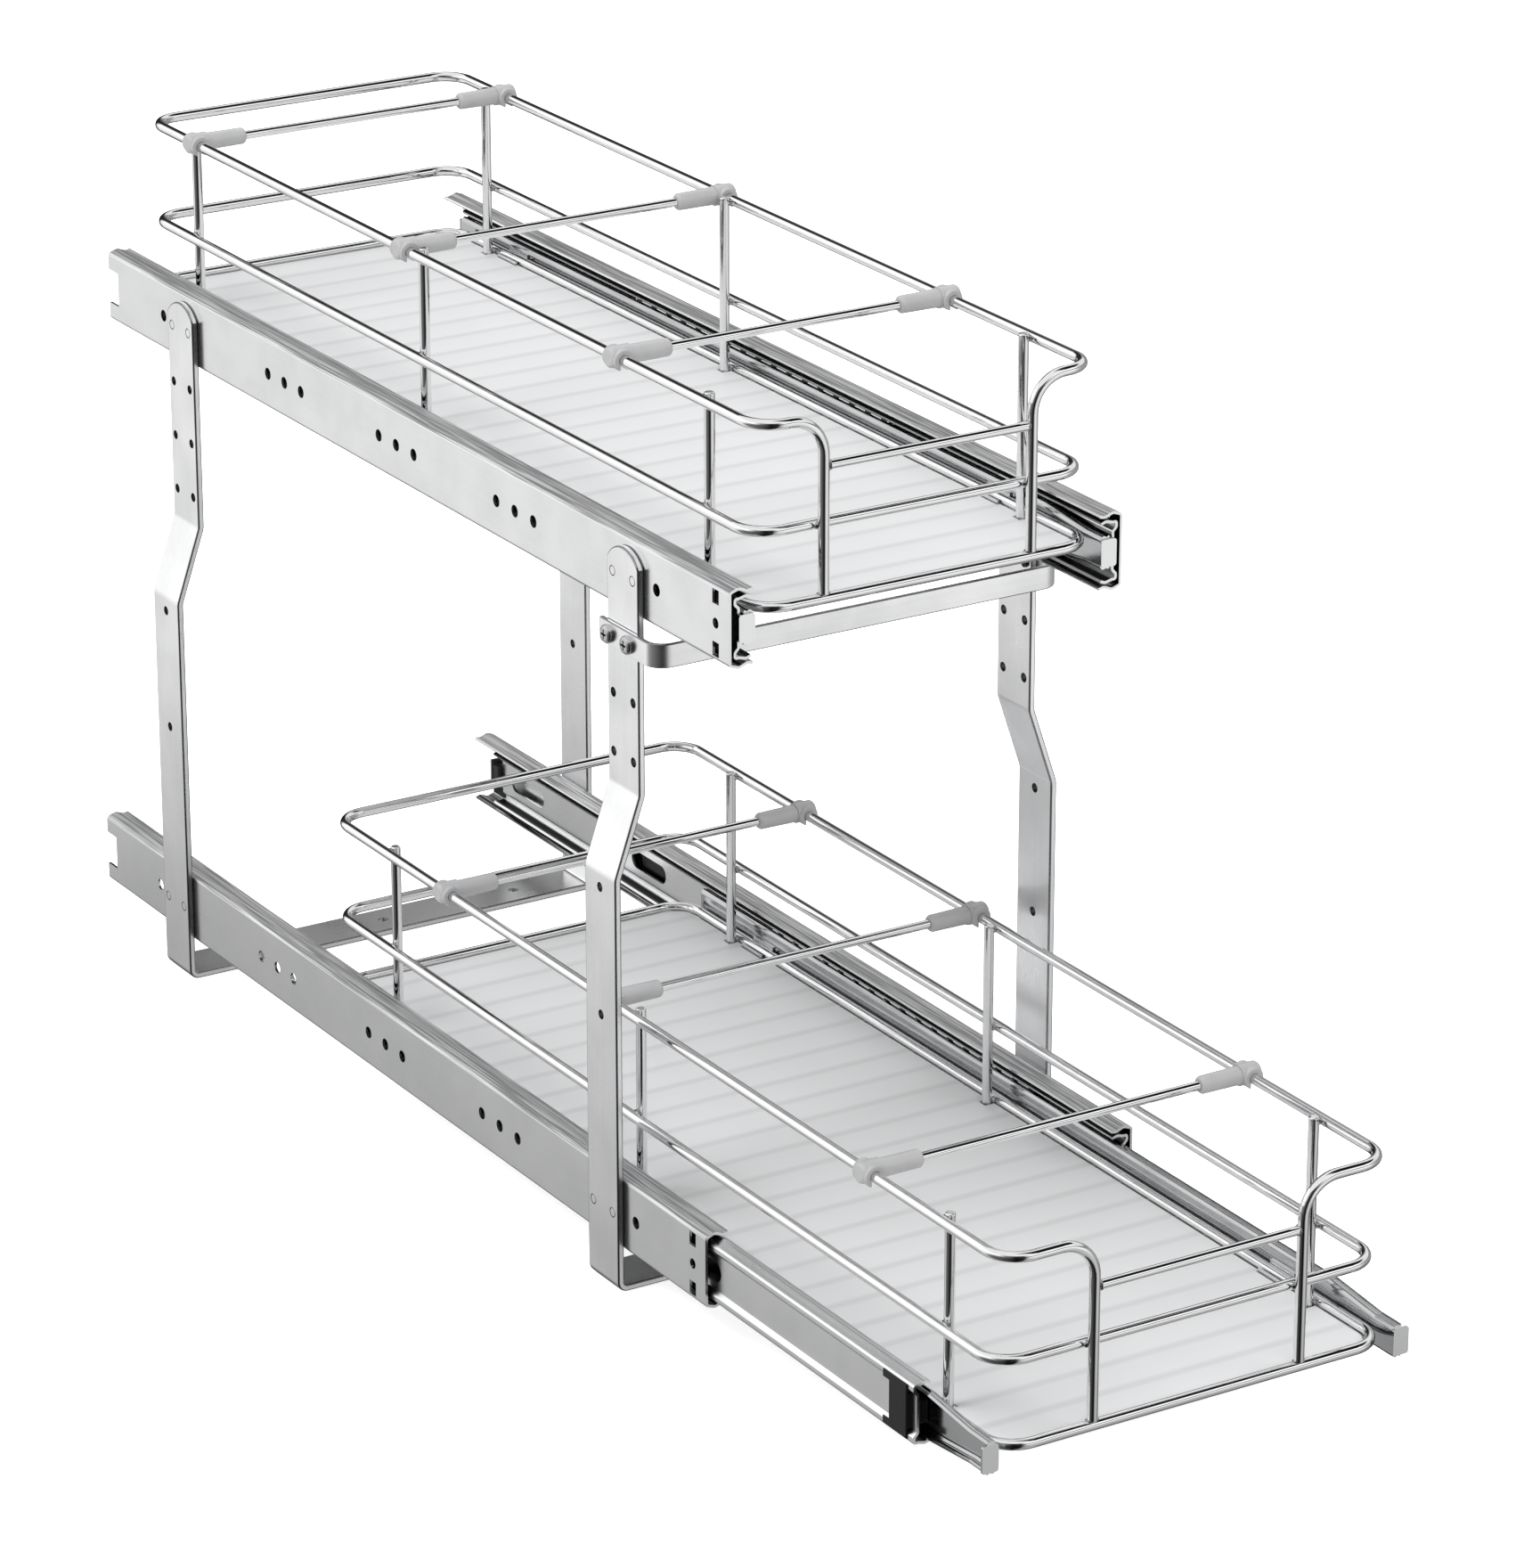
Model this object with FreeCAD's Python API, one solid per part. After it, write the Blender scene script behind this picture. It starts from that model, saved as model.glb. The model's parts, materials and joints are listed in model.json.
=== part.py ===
import FreeCAD, Part
import math
import os

# Pull-out cabinet organizer: two wire drawers, one above the other, on ball slides.
# X runs across, Y from front (minus) to back (plus), Z up from the cabinet floor.
# The origin is on the floor, in the middle of the floor screw pattern.

# Slide members. A section is drawn with u running from the outboard face of the
# outer rail's web towards the drawer, and v up from the slide's mid-height.
SLIDE_LENGTH = 558.0
STEEL = 1.2
OUTER_HALF_HEIGHT = 16.0
OUTER_CROWN_RISE = 1.4
OUTER_DIP_DROP = 0.2
OUTER_TIP_RISE = 0.6
OUTER_CROWN_U = 4.6
OUTER_DIP_U = 8.8
OUTER_TIP_U = 11.3
OUTER_CORNER_RADIUS = 1.2
RACE_RADIUS = 2.4
MID_RIDGE_U = 2.9
MID_WEB_U = 4.6
MID_WEB_HALF = 8.4
MID_RIDGE_HALF = 10.2
MID_CORNER_RISE = 0.2
MID_CROWN_RISE = 0.9
MID_CROWN_U = 8.1
MID_TIP_DROP = 0.85
MID_TIP_U = 10.4
MID_CORNER_RADIUS = 0.9
MID_REAR_SETBACK = 17.0
INNER_WEB_U = 10.8
INNER_BULGE_U = 9.6
INNER_TIP_U = 6.7
INNER_BULGE_RISE = 0.9
INNER_CORNER_DROP = 1.5
INNER_DIP_RADIUS = 1.2
INNER_BULGE_RADIUS = 0.8
NOSE_DROP = 3.0
NOSE_LENGTH = 12.0
NOSE_TAPER = 30.0
END_TAB_HALF_HEIGHT = 6.0
END_TAB_WIDTH = 7.6
END_TAB_OVERHANG = 1.7

# Balls and the cages that carry them, one row above and one below in each cage.
BALL_DIAMETER = 2.4
BALL_GAP = 0.25
BALL_PITCH = 26.0
BALL_END_MARGIN = 10.0
BALL_HOLE_GAP = 0.1
RACE_ROUNDING = 0.25
CAGE_STEEL = 0.5
CAGE_RUNNING_GAP = 0.3
CAGE_CORNER_RADIUS = 0.8
OUTER_CAGE_FRONT_SETBACK = 129.0
OUTER_CAGE_REAR_SETBACK = 149.0
OUTER_CAGE_FLANGE_U = 7.0
INNER_CAGE_FRONT_SETBACK = 164.0
INNER_CAGE_REAR_SETBACK = 179.0
INNER_CAGE_FLANGE_U = 9.7

# Pull-out of the lower drawer as stored, and the share of it that its left middle member follows.
LOWER_PULLED_OUT = 200.8
LOWER_LEFT_MID_SHARE = 0.772

# Holes, stops and latches of the slides.
WEB_HOLE_DIAMETER = 5.5
WEB_HOLE_END_SETBACK = 56.6
WEB_HOLE_GROUP_YS = (102.9, -1.3, -105.6)
WEB_HOLE_GROUP_PITCH = 15.8
NOSE_HOLE_DIAMETER = 4.5
NOSE_HOLE_SETBACK = 10.2
NOSE_SLOT_WIDTH = 5.0
NOSE_SLOT_HEIGHT = 6.2
NOSE_SLOT_V = 11.2
REAR_NOTCH_DEPTH = 9.5
REAR_NOTCH_HALF_HEIGHT = 8.0
STOP_TAB_HALF_HEIGHT = 7.0
STOP_TAB_U = 8.2
BUMPER_GAP = 0.3
BUMPER_HALF_HEIGHT = 5.0
BUMPER_U = 7.6
MID_SLOT_LENGTH = 32.0
MID_SLOT_HEIGHT = 9.0
MID_SLOT_PITCH = 117.0
MID_SLOT_COUNT = 4
MID_SLOT_SETBACK = 25.0
LATCH_SETBACK = 4.0
LATCH_PLATE_LENGTH = 13.0
LATCH_FOOT_LENGTH = 17.5
LATCH_FOOT_HEIGHT = 3.4
LATCH_SKIN_U = 1.6
LATCH_HALF_HEIGHT = 12.0
LATCH_CORE_HALF_HEIGHT = 7.6
LATCH_EDGE_ROUNDING = 0.5

# Tiers: how far out the webs of the outer rails stand, and the slides' mid-height.
UPPER_WEB_X = 95.0
LOWER_WEB_X = 107.0
UPPER_SLIDE_Z = 316.0
LOWER_SLIDE_Z = 36.1

# Frame straps, crossbar, rivets and screws.
STRAP_WIDTH = 25.0
STRAP_THICKNESS = 3.0
STRAP_Y = 200.0
STRAP_TOP_RISE = 12.4
STRAP_END_RADIUS = 15.0
JOG_TOP_Z = 223.0
JOG_BOTTOM_Z = 188.0
JOG_BEND_RADIUS = 7.0
FOOT_BEND_RADIUS = 3.2
POST_HOLE_DIAMETER = 4.3
POST_HOLE_TOP_Z = 289.0
POST_HOLE_PITCH = 26.0
POST_HOLE_ROWS = 3
POST_HOLE_SPACING = 16.0
SINGLE_HOLE_ZS = (181.5, 124.0)
FLOOR_HOLE_DIAMETER = 5.0
FLOOR_HOLE_X = 72.0
RIVET_DIAMETER = 4.6
RIVET_SPACING = 16.0
RIVET_FIT = 0.05
CROSSBAR_HEIGHT = 10.5
CROSSBAR_THICKNESS = 2.0
CROSSBAR_FRONT_Y = -229.0
CROSSBAR_LEG_OVERLAP = 3.5
CROSSBAR_BEND_RADIUS = 8.0
SCREW_DIAMETER = 4.0
SCREW_FIT = 0.15
SCREW_HEAD_DIAMETER = 8.2
SCREW_HEAD_HEIGHT = 2.6
SCREW_HEAD_ROUNDING = 1.8
SCREW_TIP = 1.0
SCREW_RECESS_SPAN = 4.2
SCREW_RECESS_WIDTH = 0.9
SCREW_RECESS_DEPTH = 1.3

# Wire drawers. Heights are above the mid-height of the tier's slide.
WIRE = 4.7
POST_WIRE = 4.5
CROSS_WIRE = 4.0
FLOOR_WIRE = 2.5
TOP_RING_V = 81.7
MIDDLE_RING_V = 35.6
UPPER_BOTTOM_RING_V = 4.9
LOWER_BOTTOM_RING_V = 0.9
CROSS_WIRE_V = 61.2
BASKET_FRONT_SETBACK = 0.7
UPPER_BASKET_REAR_SETBACK = 19.5
LOWER_BASKET_REAR_SETBACK = 7.7
RING_CORNER_RADIUS = 14.0
LEG_BEND_RADIUS = 16.0
CORNER_SHARE = 0.45
LEG_BEND_SHARE = 0.52
LEG_X = 50.0
REAR_POST_SETBACK = 57.3
MIDDLE_POST_Y = 5.8
FRONT_POST_SETBACK = 46.3
POST_END_ROUNDING = 0.9
FLOOR_WIRE_PITCH = 20.5
FLOOR_WIRE_END_MARGIN = 12.0
RAIL_CLIP_SETBACK = 74.0
RAIL_CLIP_LENGTH = 17.0
RAIL_CLIP_STEEL = 0.8
RAIL_CLIP_GAP = 0.1
RAIL_CLIP_BEND = 1.0
RAIL_CLIP_RISE = 3.0
RAIL_CLIP_LIP_GAP = 0.6
RAIL_CLIP_LIP_RISE = 0.6
MAT_THICKNESS = 1.5
MAT_GAP = 0.35
MAT_NOTCH_GAP = 0.5

# Dividers: a rod across the drawer, held by a snap clip on the top wire at each end.
# Each tier has one set in from the rear end, one behind the middle post, one set in from the front.
UPPER_DIVIDERS = (66.4, 8.6, 111.2)
LOWER_DIVIDERS = (113.1, 17.7, 98.9)
DIVIDER_ROD = 4.0
DIVIDER_RISE = 0.7
CLIP_LENGTH = 10.6
CLIP_WALL = 2.2
CLIP_EDGE_ROUNDING = 0.7
CLIP_GAP = 0.1
CLIP_MOUTH = 3.6
CLIP_HEAD_DIAMETER = 9.2
CLIP_HEAD_REACH = 5.0
CLIP_HEAD_ROUNDING = 1.7
SLEEVE_LENGTH = 24.5
SLEEVE_BASE_DIAMETER = 8.2
SLEEVE_TIP_DIAMETER = 7.7
SLEEVE_TIP_ROUNDING = 1.6
ROD_SOCKET_DEPTH = 12.0
ROD_FIT = 0.05

# Places that follow from the sizes above.
FRONT_Y = -SLIDE_LENGTH / 2
REAR_Y = SLIDE_LENGTH / 2
MID_REAR_Y = REAR_Y - MID_REAR_SETBACK
DRAWER_FACE_U = INNER_WEB_U + STEEL / 2
STOP_TAB_Y = REAR_Y - REAR_NOTCH_DEPTH
WEB_HOLE_Y = REAR_Y - WEB_HOLE_END_SETBACK
BASKET_FRONT_Y = FRONT_Y + BASKET_FRONT_SETBACK
SIDE_POST_YS = (REAR_Y - REAR_POST_SETBACK, MIDDLE_POST_Y, FRONT_Y + FRONT_POST_SETBACK)
RAIL_CLIP_Y = REAR_Y - RAIL_CLIP_SETBACK
LOWER_LEFT_MID_OUT = LOWER_PULLED_OUT * LOWER_LEFT_MID_SHARE
RACE_STEP = STEEL + BALL_DIAMETER + 2 * BALL_GAP + RACE_ROUNDING
OUTER_CORNER_V = OUTER_HALF_HEIGHT - STEEL / 2
OUTER_CROWN_V = OUTER_CORNER_V + OUTER_CROWN_RISE
OUTER_DIP_V = OUTER_CORNER_V - OUTER_DIP_DROP
MID_DIP_V = OUTER_CROWN_V - RACE_STEP
MID_CROWN_V = MID_DIP_V + MID_CROWN_RISE
INNER_DIP_V = MID_CROWN_V - RACE_STEP
OUTER_BALL_V = (OUTER_CROWN_V + MID_DIP_V) / 2
INNER_BALL_V = (MID_CROWN_V + INNER_DIP_V) / 2

VEC = FreeCAD.Vector
ALONG_X = VEC(1, 0, 0)
ALONG_Y = VEC(0, 1, 0)
ALONG_Z = VEC(0, 0, 1)

# How far a cutter runs past what it cuts, and how close two places count as one.
OVERSHOOT = 1.0
NEAR = 1e-6


# General shapes

def corner_arc(before, at, after, radius):
    """Start, middle and end of the arc that rounds one corner."""
    back = (before - at).normalize()
    ahead = (after - at).normalize()
    half = back.getAngle(ahead) / 2
    bisector = (back + ahead).normalize()
    setback = radius / math.tan(half)
    centre = at + bisector * (radius / math.sin(half))
    return at + back * setback, centre - bisector * radius, at + ahead * setback


def rounded_edges(points, radii):
    """Straight runs joined by tangent arcs, from the first point to the last."""
    edges = []
    start = points[0]
    for before, at, after, radius in zip(points, points[1:], points[2:], radii):
        arc_start, middle, arc_end = corner_arc(before, at, after, radius)
        edges.append(Part.makeLine(start, arc_start))
        edges.append(Part.Arc(arc_start, middle, arc_end).toShape())
        start = arc_end
    edges.append(Part.makeLine(start, points[-1]))
    return edges


def strip_side(points, radii, offset, normal):
    """One face of a bent strip: the corners and radii of its line, moved sideways."""
    runs = [(b - a).normalize() for a, b in zip(points, points[1:])]
    sideways = [normal.cross(run) for run in runs]
    moved = [points[0] + sideways[0] * offset]
    moved_radii = []
    for i, radius in enumerate(radii):
        miter = (sideways[i] + sideways[i + 1]).normalize()
        moved.append(points[i + 1] + miter * (offset / miter.dot(sideways[i])))
        turn = math.copysign(1, runs[i].cross(runs[i + 1]).dot(normal))
        moved_radii.append(radius - turn * offset)
    moved.append(points[-1] + sideways[-1] * offset)
    return moved, moved_radii


def bent_strip(points, radii, thickness, sweep):
    """Sheet or flat bar with rounded bends along a centreline, swept straight."""
    normal = VEC(sweep).normalize()
    left, left_radii = strip_side(points, radii, thickness / 2, normal)
    right, right_radii = strip_side(points, radii, -thickness / 2, normal)
    outline = rounded_edges(left, left_radii)
    outline.append(Part.makeLine(left[-1], right[-1]))
    outline += rounded_edges(right[::-1], right_radii[::-1])
    outline.append(Part.makeLine(right[0], left[0]))
    return Part.Face(Part.Wire(outline)).extrude(sweep)


def round_bar(points, radii, diameter):
    """Round wire bent along a path, from the first point to the last."""
    path = Part.Wire(rounded_edges(points, radii))
    start = points[0]
    heading = points[1] - points[0]
    circle = Part.Wire(Part.makeCircle(diameter / 2, start, heading))
    return path.makePipeShell([circle], True, False)


def straight_wire(start, end, diameter):
    return Part.makeCylinder(diameter / 2, (end - start).Length, start, end - start)


def block(x0, x1, y0, y1, z0, z1):
    """Box between two corners."""
    return Part.makeBox(x1 - x0, y1 - y0, z1 - z0, VEC(x0, y0, z0))


def drill(diameter, x0, x1, y, z):
    """Round hole cutter along X."""
    return Part.makeCylinder(diameter / 2, x1 - x0, VEC(x0, y, z), ALONG_X)


def mirror_x(shape):
    return shape.mirror(VEC(0, 0, 0), ALONG_X)


def both_sides(shape):
    return [shape, mirror_x(shape)]


def save(name, solids):
    """One file for each node: a single solid, or a group of like ones."""
    shape = solids[0] if len(solids) == 1 else Part.makeCompound(solids)
    shape.exportStep("parts/" + name + ".step")


# Slide members, drawn for the left side with the mid-length at Y = 0

def channel_points(half, front_y):
    """Full section of a slide member from its upper half, tip first."""
    upper = [VEC(u, front_y, v) for u, v in half]
    lower = [VEC(u, front_y, -v) for u, v in reversed(half)]
    return upper + lower


def slide_member(half, half_radii, front_y, rear_y):
    radii = half_radii + half_radii[::-1]
    return bent_strip(channel_points(half, front_y), radii, STEEL, ALONG_Y * (rear_y - front_y))


def web_slot(u0, u1, y, length, height):
    """Slot cutter with round ends, lying along Y in a web."""
    reach = (length - height) / 2
    cutter = block(u0, u1, y - reach, y + reach, -height / 2, height / 2)
    for end in (-reach, reach):
        cutter = cutter.fuse(drill(height, u0, u1, y + end, 0))
    return cutter


def outer_rail():
    """Fixed member: screwed or riveted to the posts through its web."""
    half = [(OUTER_TIP_U, OUTER_DIP_V + OUTER_TIP_RISE), (OUTER_DIP_U, OUTER_DIP_V),
            (OUTER_CROWN_U, OUTER_CROWN_V), (STEEL / 2, OUTER_CORNER_V)]
    rail = slide_member(half, [RACE_RADIUS, RACE_RADIUS, OUTER_CORNER_RADIUS], FRONT_Y, REAR_Y)
    cutters = [block(-STEEL, 2 * STEEL, STOP_TAB_Y, REAR_Y + STEEL,
                     -REAR_NOTCH_HALF_HEIGHT, REAR_NOTCH_HALF_HEIGHT)]
    hole_ys = [-WEB_HOLE_Y, WEB_HOLE_Y]
    for group_y in WEB_HOLE_GROUP_YS:
        hole_ys += [group_y + step * WEB_HOLE_GROUP_PITCH for step in (-1, 0, 1)]
    for y in hole_ys:
        cutters.append(drill(WEB_HOLE_DIAMETER, -STEEL, 2 * STEEL, y, 0))
    nose_y = FRONT_Y + NOSE_HOLE_SETBACK
    cutters.append(drill(NOSE_HOLE_DIAMETER, -STEEL, 2 * STEEL, nose_y, 0))
    for v in (-NOSE_SLOT_V, NOSE_SLOT_V):
        cutters.append(block(-STEEL, 2 * STEEL, nose_y - NOSE_SLOT_WIDTH / 2, nose_y + NOSE_SLOT_WIDTH / 2,
                             v - NOSE_SLOT_HEIGHT / 2, v + NOSE_SLOT_HEIGHT / 2))
    for y in rivet_ys():
        cutters.append(drill(RIVET_DIAMETER, -STEEL, 2 * STEEL, y, 0))
    rail = rail.cut(Part.makeCompound(cutters))
    tab = block(0, STOP_TAB_U, STOP_TAB_Y - STEEL, STOP_TAB_Y, -STOP_TAB_HALF_HEIGHT, STOP_TAB_HALF_HEIGHT)
    return rail.fuse(tab).removeSplitter()


def rivet_ys():
    return [side * STRAP_Y + end * RIVET_SPACING / 2 for side in (-1, 1) for end in (-1, 1)]


def bumper():
    """Rubber stop that sits against the tab at the back of the outer rail."""
    stop = block(STEEL, BUMPER_U, MID_REAR_Y + BUMPER_GAP, STOP_TAB_Y - STEEL,
                 -BUMPER_HALF_HEIGHT, BUMPER_HALF_HEIGHT)
    front_edges = [edge for edge in stop.Edges if edge.CenterOfMass.y < MID_REAR_Y + 2 * BUMPER_GAP]
    return stop.makeFillet(STEEL, front_edges)


def mid_rail():
    """Middle member: balls run in its outer and inner races."""
    half = [(MID_TIP_U, MID_CROWN_V - MID_TIP_DROP), (MID_CROWN_U, MID_CROWN_V),
            (OUTER_CROWN_U, MID_DIP_V), (MID_RIDGE_U, MID_DIP_V + MID_CORNER_RISE),
            (MID_RIDGE_U, MID_RIDGE_HALF), (MID_WEB_U, MID_WEB_HALF)]
    radii = [RACE_RADIUS, RACE_RADIUS, MID_CORNER_RADIUS, MID_CORNER_RADIUS, MID_CORNER_RADIUS]
    rail = slide_member(half, radii, FRONT_Y, MID_REAR_Y)
    last_y = MID_REAR_Y - MID_SLOT_SETBACK
    slots = [web_slot(MID_WEB_U - STEEL, MID_WEB_U + STEEL, last_y - i * MID_SLOT_PITCH,
                      MID_SLOT_LENGTH, MID_SLOT_HEIGHT) for i in range(MID_SLOT_COUNT)]
    return rail.cut(Part.makeCompound(slots))


def mid_latch():
    """Moulded latch in the web of the middle member, its two feet over the ridges."""
    front = FRONT_Y + LATCH_SETBACK
    ridge_face = MID_RIDGE_U - STEEL / 2
    web_face = MID_WEB_U - STEEL / 2
    plate = block(LATCH_SKIN_U, ridge_face, front, front + LATCH_PLATE_LENGTH,
                  -LATCH_HALF_HEIGHT, LATCH_HALF_HEIGHT)
    for side in (-1, 1):
        low, high = sorted((side * (LATCH_HALF_HEIGHT - LATCH_FOOT_HEIGHT), side * LATCH_HALF_HEIGHT))
        foot = block(LATCH_SKIN_U, ridge_face, front, front + LATCH_FOOT_LENGTH, low, high)
        plate = plate.fuse(foot)
    plate = plate.removeSplitter()
    outer_edges = [edge for edge in plate.Edges if abs(edge.CenterOfMass.x - LATCH_SKIN_U) < NEAR]
    plate = plate.makeFillet(LATCH_EDGE_ROUNDING, outer_edges)
    core = block(LATCH_SKIN_U + LATCH_EDGE_ROUNDING, web_face, front, front + LATCH_PLATE_LENGTH,
                 -LATCH_CORE_HALF_HEIGHT, LATCH_CORE_HALF_HEIGHT)
    return plate.fuse(core).removeSplitter()


def inner_half(drop):
    """Upper half of the drawer member's section, lowered by drop at its nose."""
    top = INNER_DIP_V + INNER_BULGE_RISE - drop
    return [(INNER_TIP_U, top), (MID_CROWN_U, INNER_DIP_V - drop), (INNER_BULGE_U, top),
            (INNER_WEB_U, top - INNER_CORNER_DROP)]


def inner_section(drop, y):
    """Closed outline of the drawer member at one place along its length."""
    radii = [INNER_DIP_RADIUS, INNER_BULGE_RADIUS, INNER_DIP_RADIUS]
    points = channel_points(inner_half(drop), y)
    sliver = bent_strip(points, radii + radii[::-1], STEEL, ALONG_Y * STEEL)
    ends = [face for face in sliver.Faces if abs(face.CenterOfMass.y - y) < NEAR]
    return ends[0].OuterWire


def inner_rail():
    """Drawer member: full height behind, necked to a nose with a bent end tab."""
    neck_y = FRONT_Y + NOSE_LENGTH
    full_y = neck_y + NOSE_TAPER
    nose_y = FRONT_Y - END_TAB_OVERHANG + STEEL
    body = Part.Face(inner_section(0, full_y)).extrude(ALONG_Y * (MID_REAR_Y - full_y))
    taper = Part.makeLoft([inner_section(NOSE_DROP, neck_y), inner_section(0, full_y)], True, True)
    nose = Part.Face(inner_section(NOSE_DROP, nose_y)).extrude(ALONG_Y * (neck_y - nose_y))
    tab = block(DRAWER_FACE_U - END_TAB_WIDTH, DRAWER_FACE_U, nose_y - STEEL, nose_y,
                -END_TAB_HALF_HEIGHT, END_TAB_HALF_HEIGHT)
    corners = [edge for edge in tab.Edges if edge.Length < 1.01 * STEEL]
    tab = tab.makeFillet(STEEL, corners)
    return body.multiFuse([taper, nose, tab]).removeSplitter()


def ball_cage(web_u, flange_u, ball_u, ball_v, front_y, rear_y):
    """Folded strip with a row of balls in its upper and lower flanges."""
    points = [VEC(flange_u, front_y, ball_v), VEC(web_u, front_y, ball_v),
              VEC(web_u, front_y, -ball_v), VEC(flange_u, front_y, -ball_v)]
    radii = [CAGE_CORNER_RADIUS, CAGE_CORNER_RADIUS]
    strip = bent_strip(points, radii, CAGE_STEEL, ALONG_Y * (rear_y - front_y))
    hole_radius = BALL_DIAMETER / 2 + BALL_HOLE_GAP
    count = int((rear_y - front_y - 2 * BALL_END_MARGIN) / BALL_PITCH) + 1
    first_y = (front_y + rear_y - (count - 1) * BALL_PITCH) / 2
    holes = []
    balls = []
    for i in range(count):
        y = first_y + i * BALL_PITCH
        bottom = VEC(ball_u, y, -ball_v - OVERSHOOT)
        holes.append(Part.makeCylinder(hole_radius, 2 * (ball_v + OVERSHOOT), bottom, ALONG_Z))
        for v in (-ball_v, ball_v):
            balls.append(Part.makeSphere(BALL_DIAMETER / 2, VEC(ball_u, y, v)))
    return [strip.cut(Part.makeCompound(holes))] + balls


def outer_cage():
    web_u = STEEL + CAGE_RUNNING_GAP + CAGE_STEEL / 2
    return ball_cage(web_u, OUTER_CAGE_FLANGE_U, OUTER_CROWN_U, OUTER_BALL_V,
                     FRONT_Y + OUTER_CAGE_FRONT_SETBACK, REAR_Y - OUTER_CAGE_REAR_SETBACK)


def inner_cage():
    web_u = MID_WEB_U + STEEL / 2 + CAGE_RUNNING_GAP + CAGE_STEEL / 2
    return ball_cage(web_u, INNER_CAGE_FLANGE_U, MID_CROWN_U, INNER_BALL_V,
                     FRONT_Y + INNER_CAGE_FRONT_SETBACK, REAR_Y - INNER_CAGE_REAR_SETBACK)


def seat(solids, side, web_x, slide_z, pulled_out):
    """Move slide solids to their tier and side, pulled towards the front."""
    placed = []
    for solid in solids:
        moved = solid.translated(VEC(-web_x, -pulled_out, slide_z))
        placed.append(mirror_x(moved) if side == "right" else moved)
    return placed


# Frame

def strap_line(y):
    """Centreline of one frame strap, from the left post's top to the right's."""
    half = STRAP_THICKNESS / 2
    upper_x = UPPER_WEB_X + half
    lower_x = LOWER_WEB_X + half
    top_z = UPPER_SLIDE_Z + STRAP_TOP_RISE
    left = [VEC(-upper_x, y, top_z), VEC(-upper_x, y, JOG_TOP_Z), VEC(-lower_x, y, JOG_BOTTOM_Z),
            VEC(-lower_x, y, half)]
    right = [VEC(-point.x, point.y, point.z) for point in reversed(left)]
    return left + right


def domed_end(y):
    """Outline that rounds the tops of both posts, as a cutter along X."""
    half = STRAP_WIDTH / 2
    top_z = UPPER_SLIDE_Z + STRAP_TOP_RISE
    shoulder_z = top_z - STRAP_END_RADIUS + math.sqrt(STRAP_END_RADIUS ** 2 - half ** 2)
    reach = 2 * LOWER_WEB_X
    left_foot = VEC(-reach / 2, y - half, 0)
    left_shoulder = VEC(-reach / 2, y - half, shoulder_z)
    right_shoulder = VEC(-reach / 2, y + half, shoulder_z)
    right_foot = VEC(-reach / 2, y + half, 0)
    dome = Part.Arc(left_shoulder, VEC(-reach / 2, y, top_z), right_shoulder).toShape()
    outline = [Part.makeLine(left_foot, left_shoulder), dome, Part.makeLine(right_shoulder, right_foot),
               Part.makeLine(right_foot, left_foot)]
    return Part.Face(Part.Wire(outline)).extrude(ALONG_X * reach)


def frame_strap(centre_y):
    """Flat bar bent into both posts and the foot between them."""
    front_y = centre_y - STRAP_WIDTH / 2
    radii = [JOG_BEND_RADIUS, JOG_BEND_RADIUS, FOOT_BEND_RADIUS,
             FOOT_BEND_RADIUS, JOG_BEND_RADIUS, JOG_BEND_RADIUS]
    strap = bent_strip(strap_line(front_y), radii, STRAP_THICKNESS, ALONG_Y * STRAP_WIDTH)
    reach = LOWER_WEB_X + 2 * STRAP_THICKNESS
    tops = block(-reach, reach, front_y - OVERSHOOT, front_y + STRAP_WIDTH + OVERSHOOT,
                 JOG_TOP_Z, UPPER_SLIDE_Z + 2 * STRAP_TOP_RISE)
    strap = strap.cut(tops).fuse(strap.common(tops).common(domed_end(centre_y))).removeSplitter()
    holes = []
    for row in range(POST_HOLE_ROWS):
        for end in (-1, 1):
            y = centre_y + end * POST_HOLE_SPACING / 2
            holes.append(drill(POST_HOLE_DIAMETER, -reach, reach, y, POST_HOLE_TOP_Z - row * POST_HOLE_PITCH))
    for z in SINGLE_HOLE_ZS:
        holes.append(drill(POST_HOLE_DIAMETER, -reach, reach, centre_y, z))
    for z in (UPPER_SLIDE_Z, LOWER_SLIDE_Z):
        for end in (-1, 1):
            holes.append(drill(RIVET_DIAMETER, -reach, reach, centre_y + end * RIVET_SPACING / 2, z))
    for x in (-FLOOR_HOLE_X, 0, FLOOR_HOLE_X):
        holes.append(Part.makeCylinder(FLOOR_HOLE_DIAMETER / 2, 3 * STRAP_THICKNESS,
                                       VEC(x, centre_y, -STRAP_THICKNESS), ALONG_Z))
    return strap.cut(Part.makeCompound(holes))


def frame_rivets():
    """Flush rivets through the posts and the webs of the outer rails."""
    rivets = []
    length = STRAP_THICKNESS + STEEL
    for web_x, z in ((UPPER_WEB_X, UPPER_SLIDE_Z), (LOWER_WEB_X, LOWER_SLIDE_Z)):
        for y in rivet_ys():
            start = VEC(-web_x - STRAP_THICKNESS, y, z)
            rivets += both_sides(Part.makeCylinder(RIVET_DIAMETER / 2 - RIVET_FIT, length, start, ALONG_X))
    return rivets


def screw_ys():
    return [-STRAP_Y + end * POST_HOLE_SPACING / 2 for end in (-1, 1)]


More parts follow.
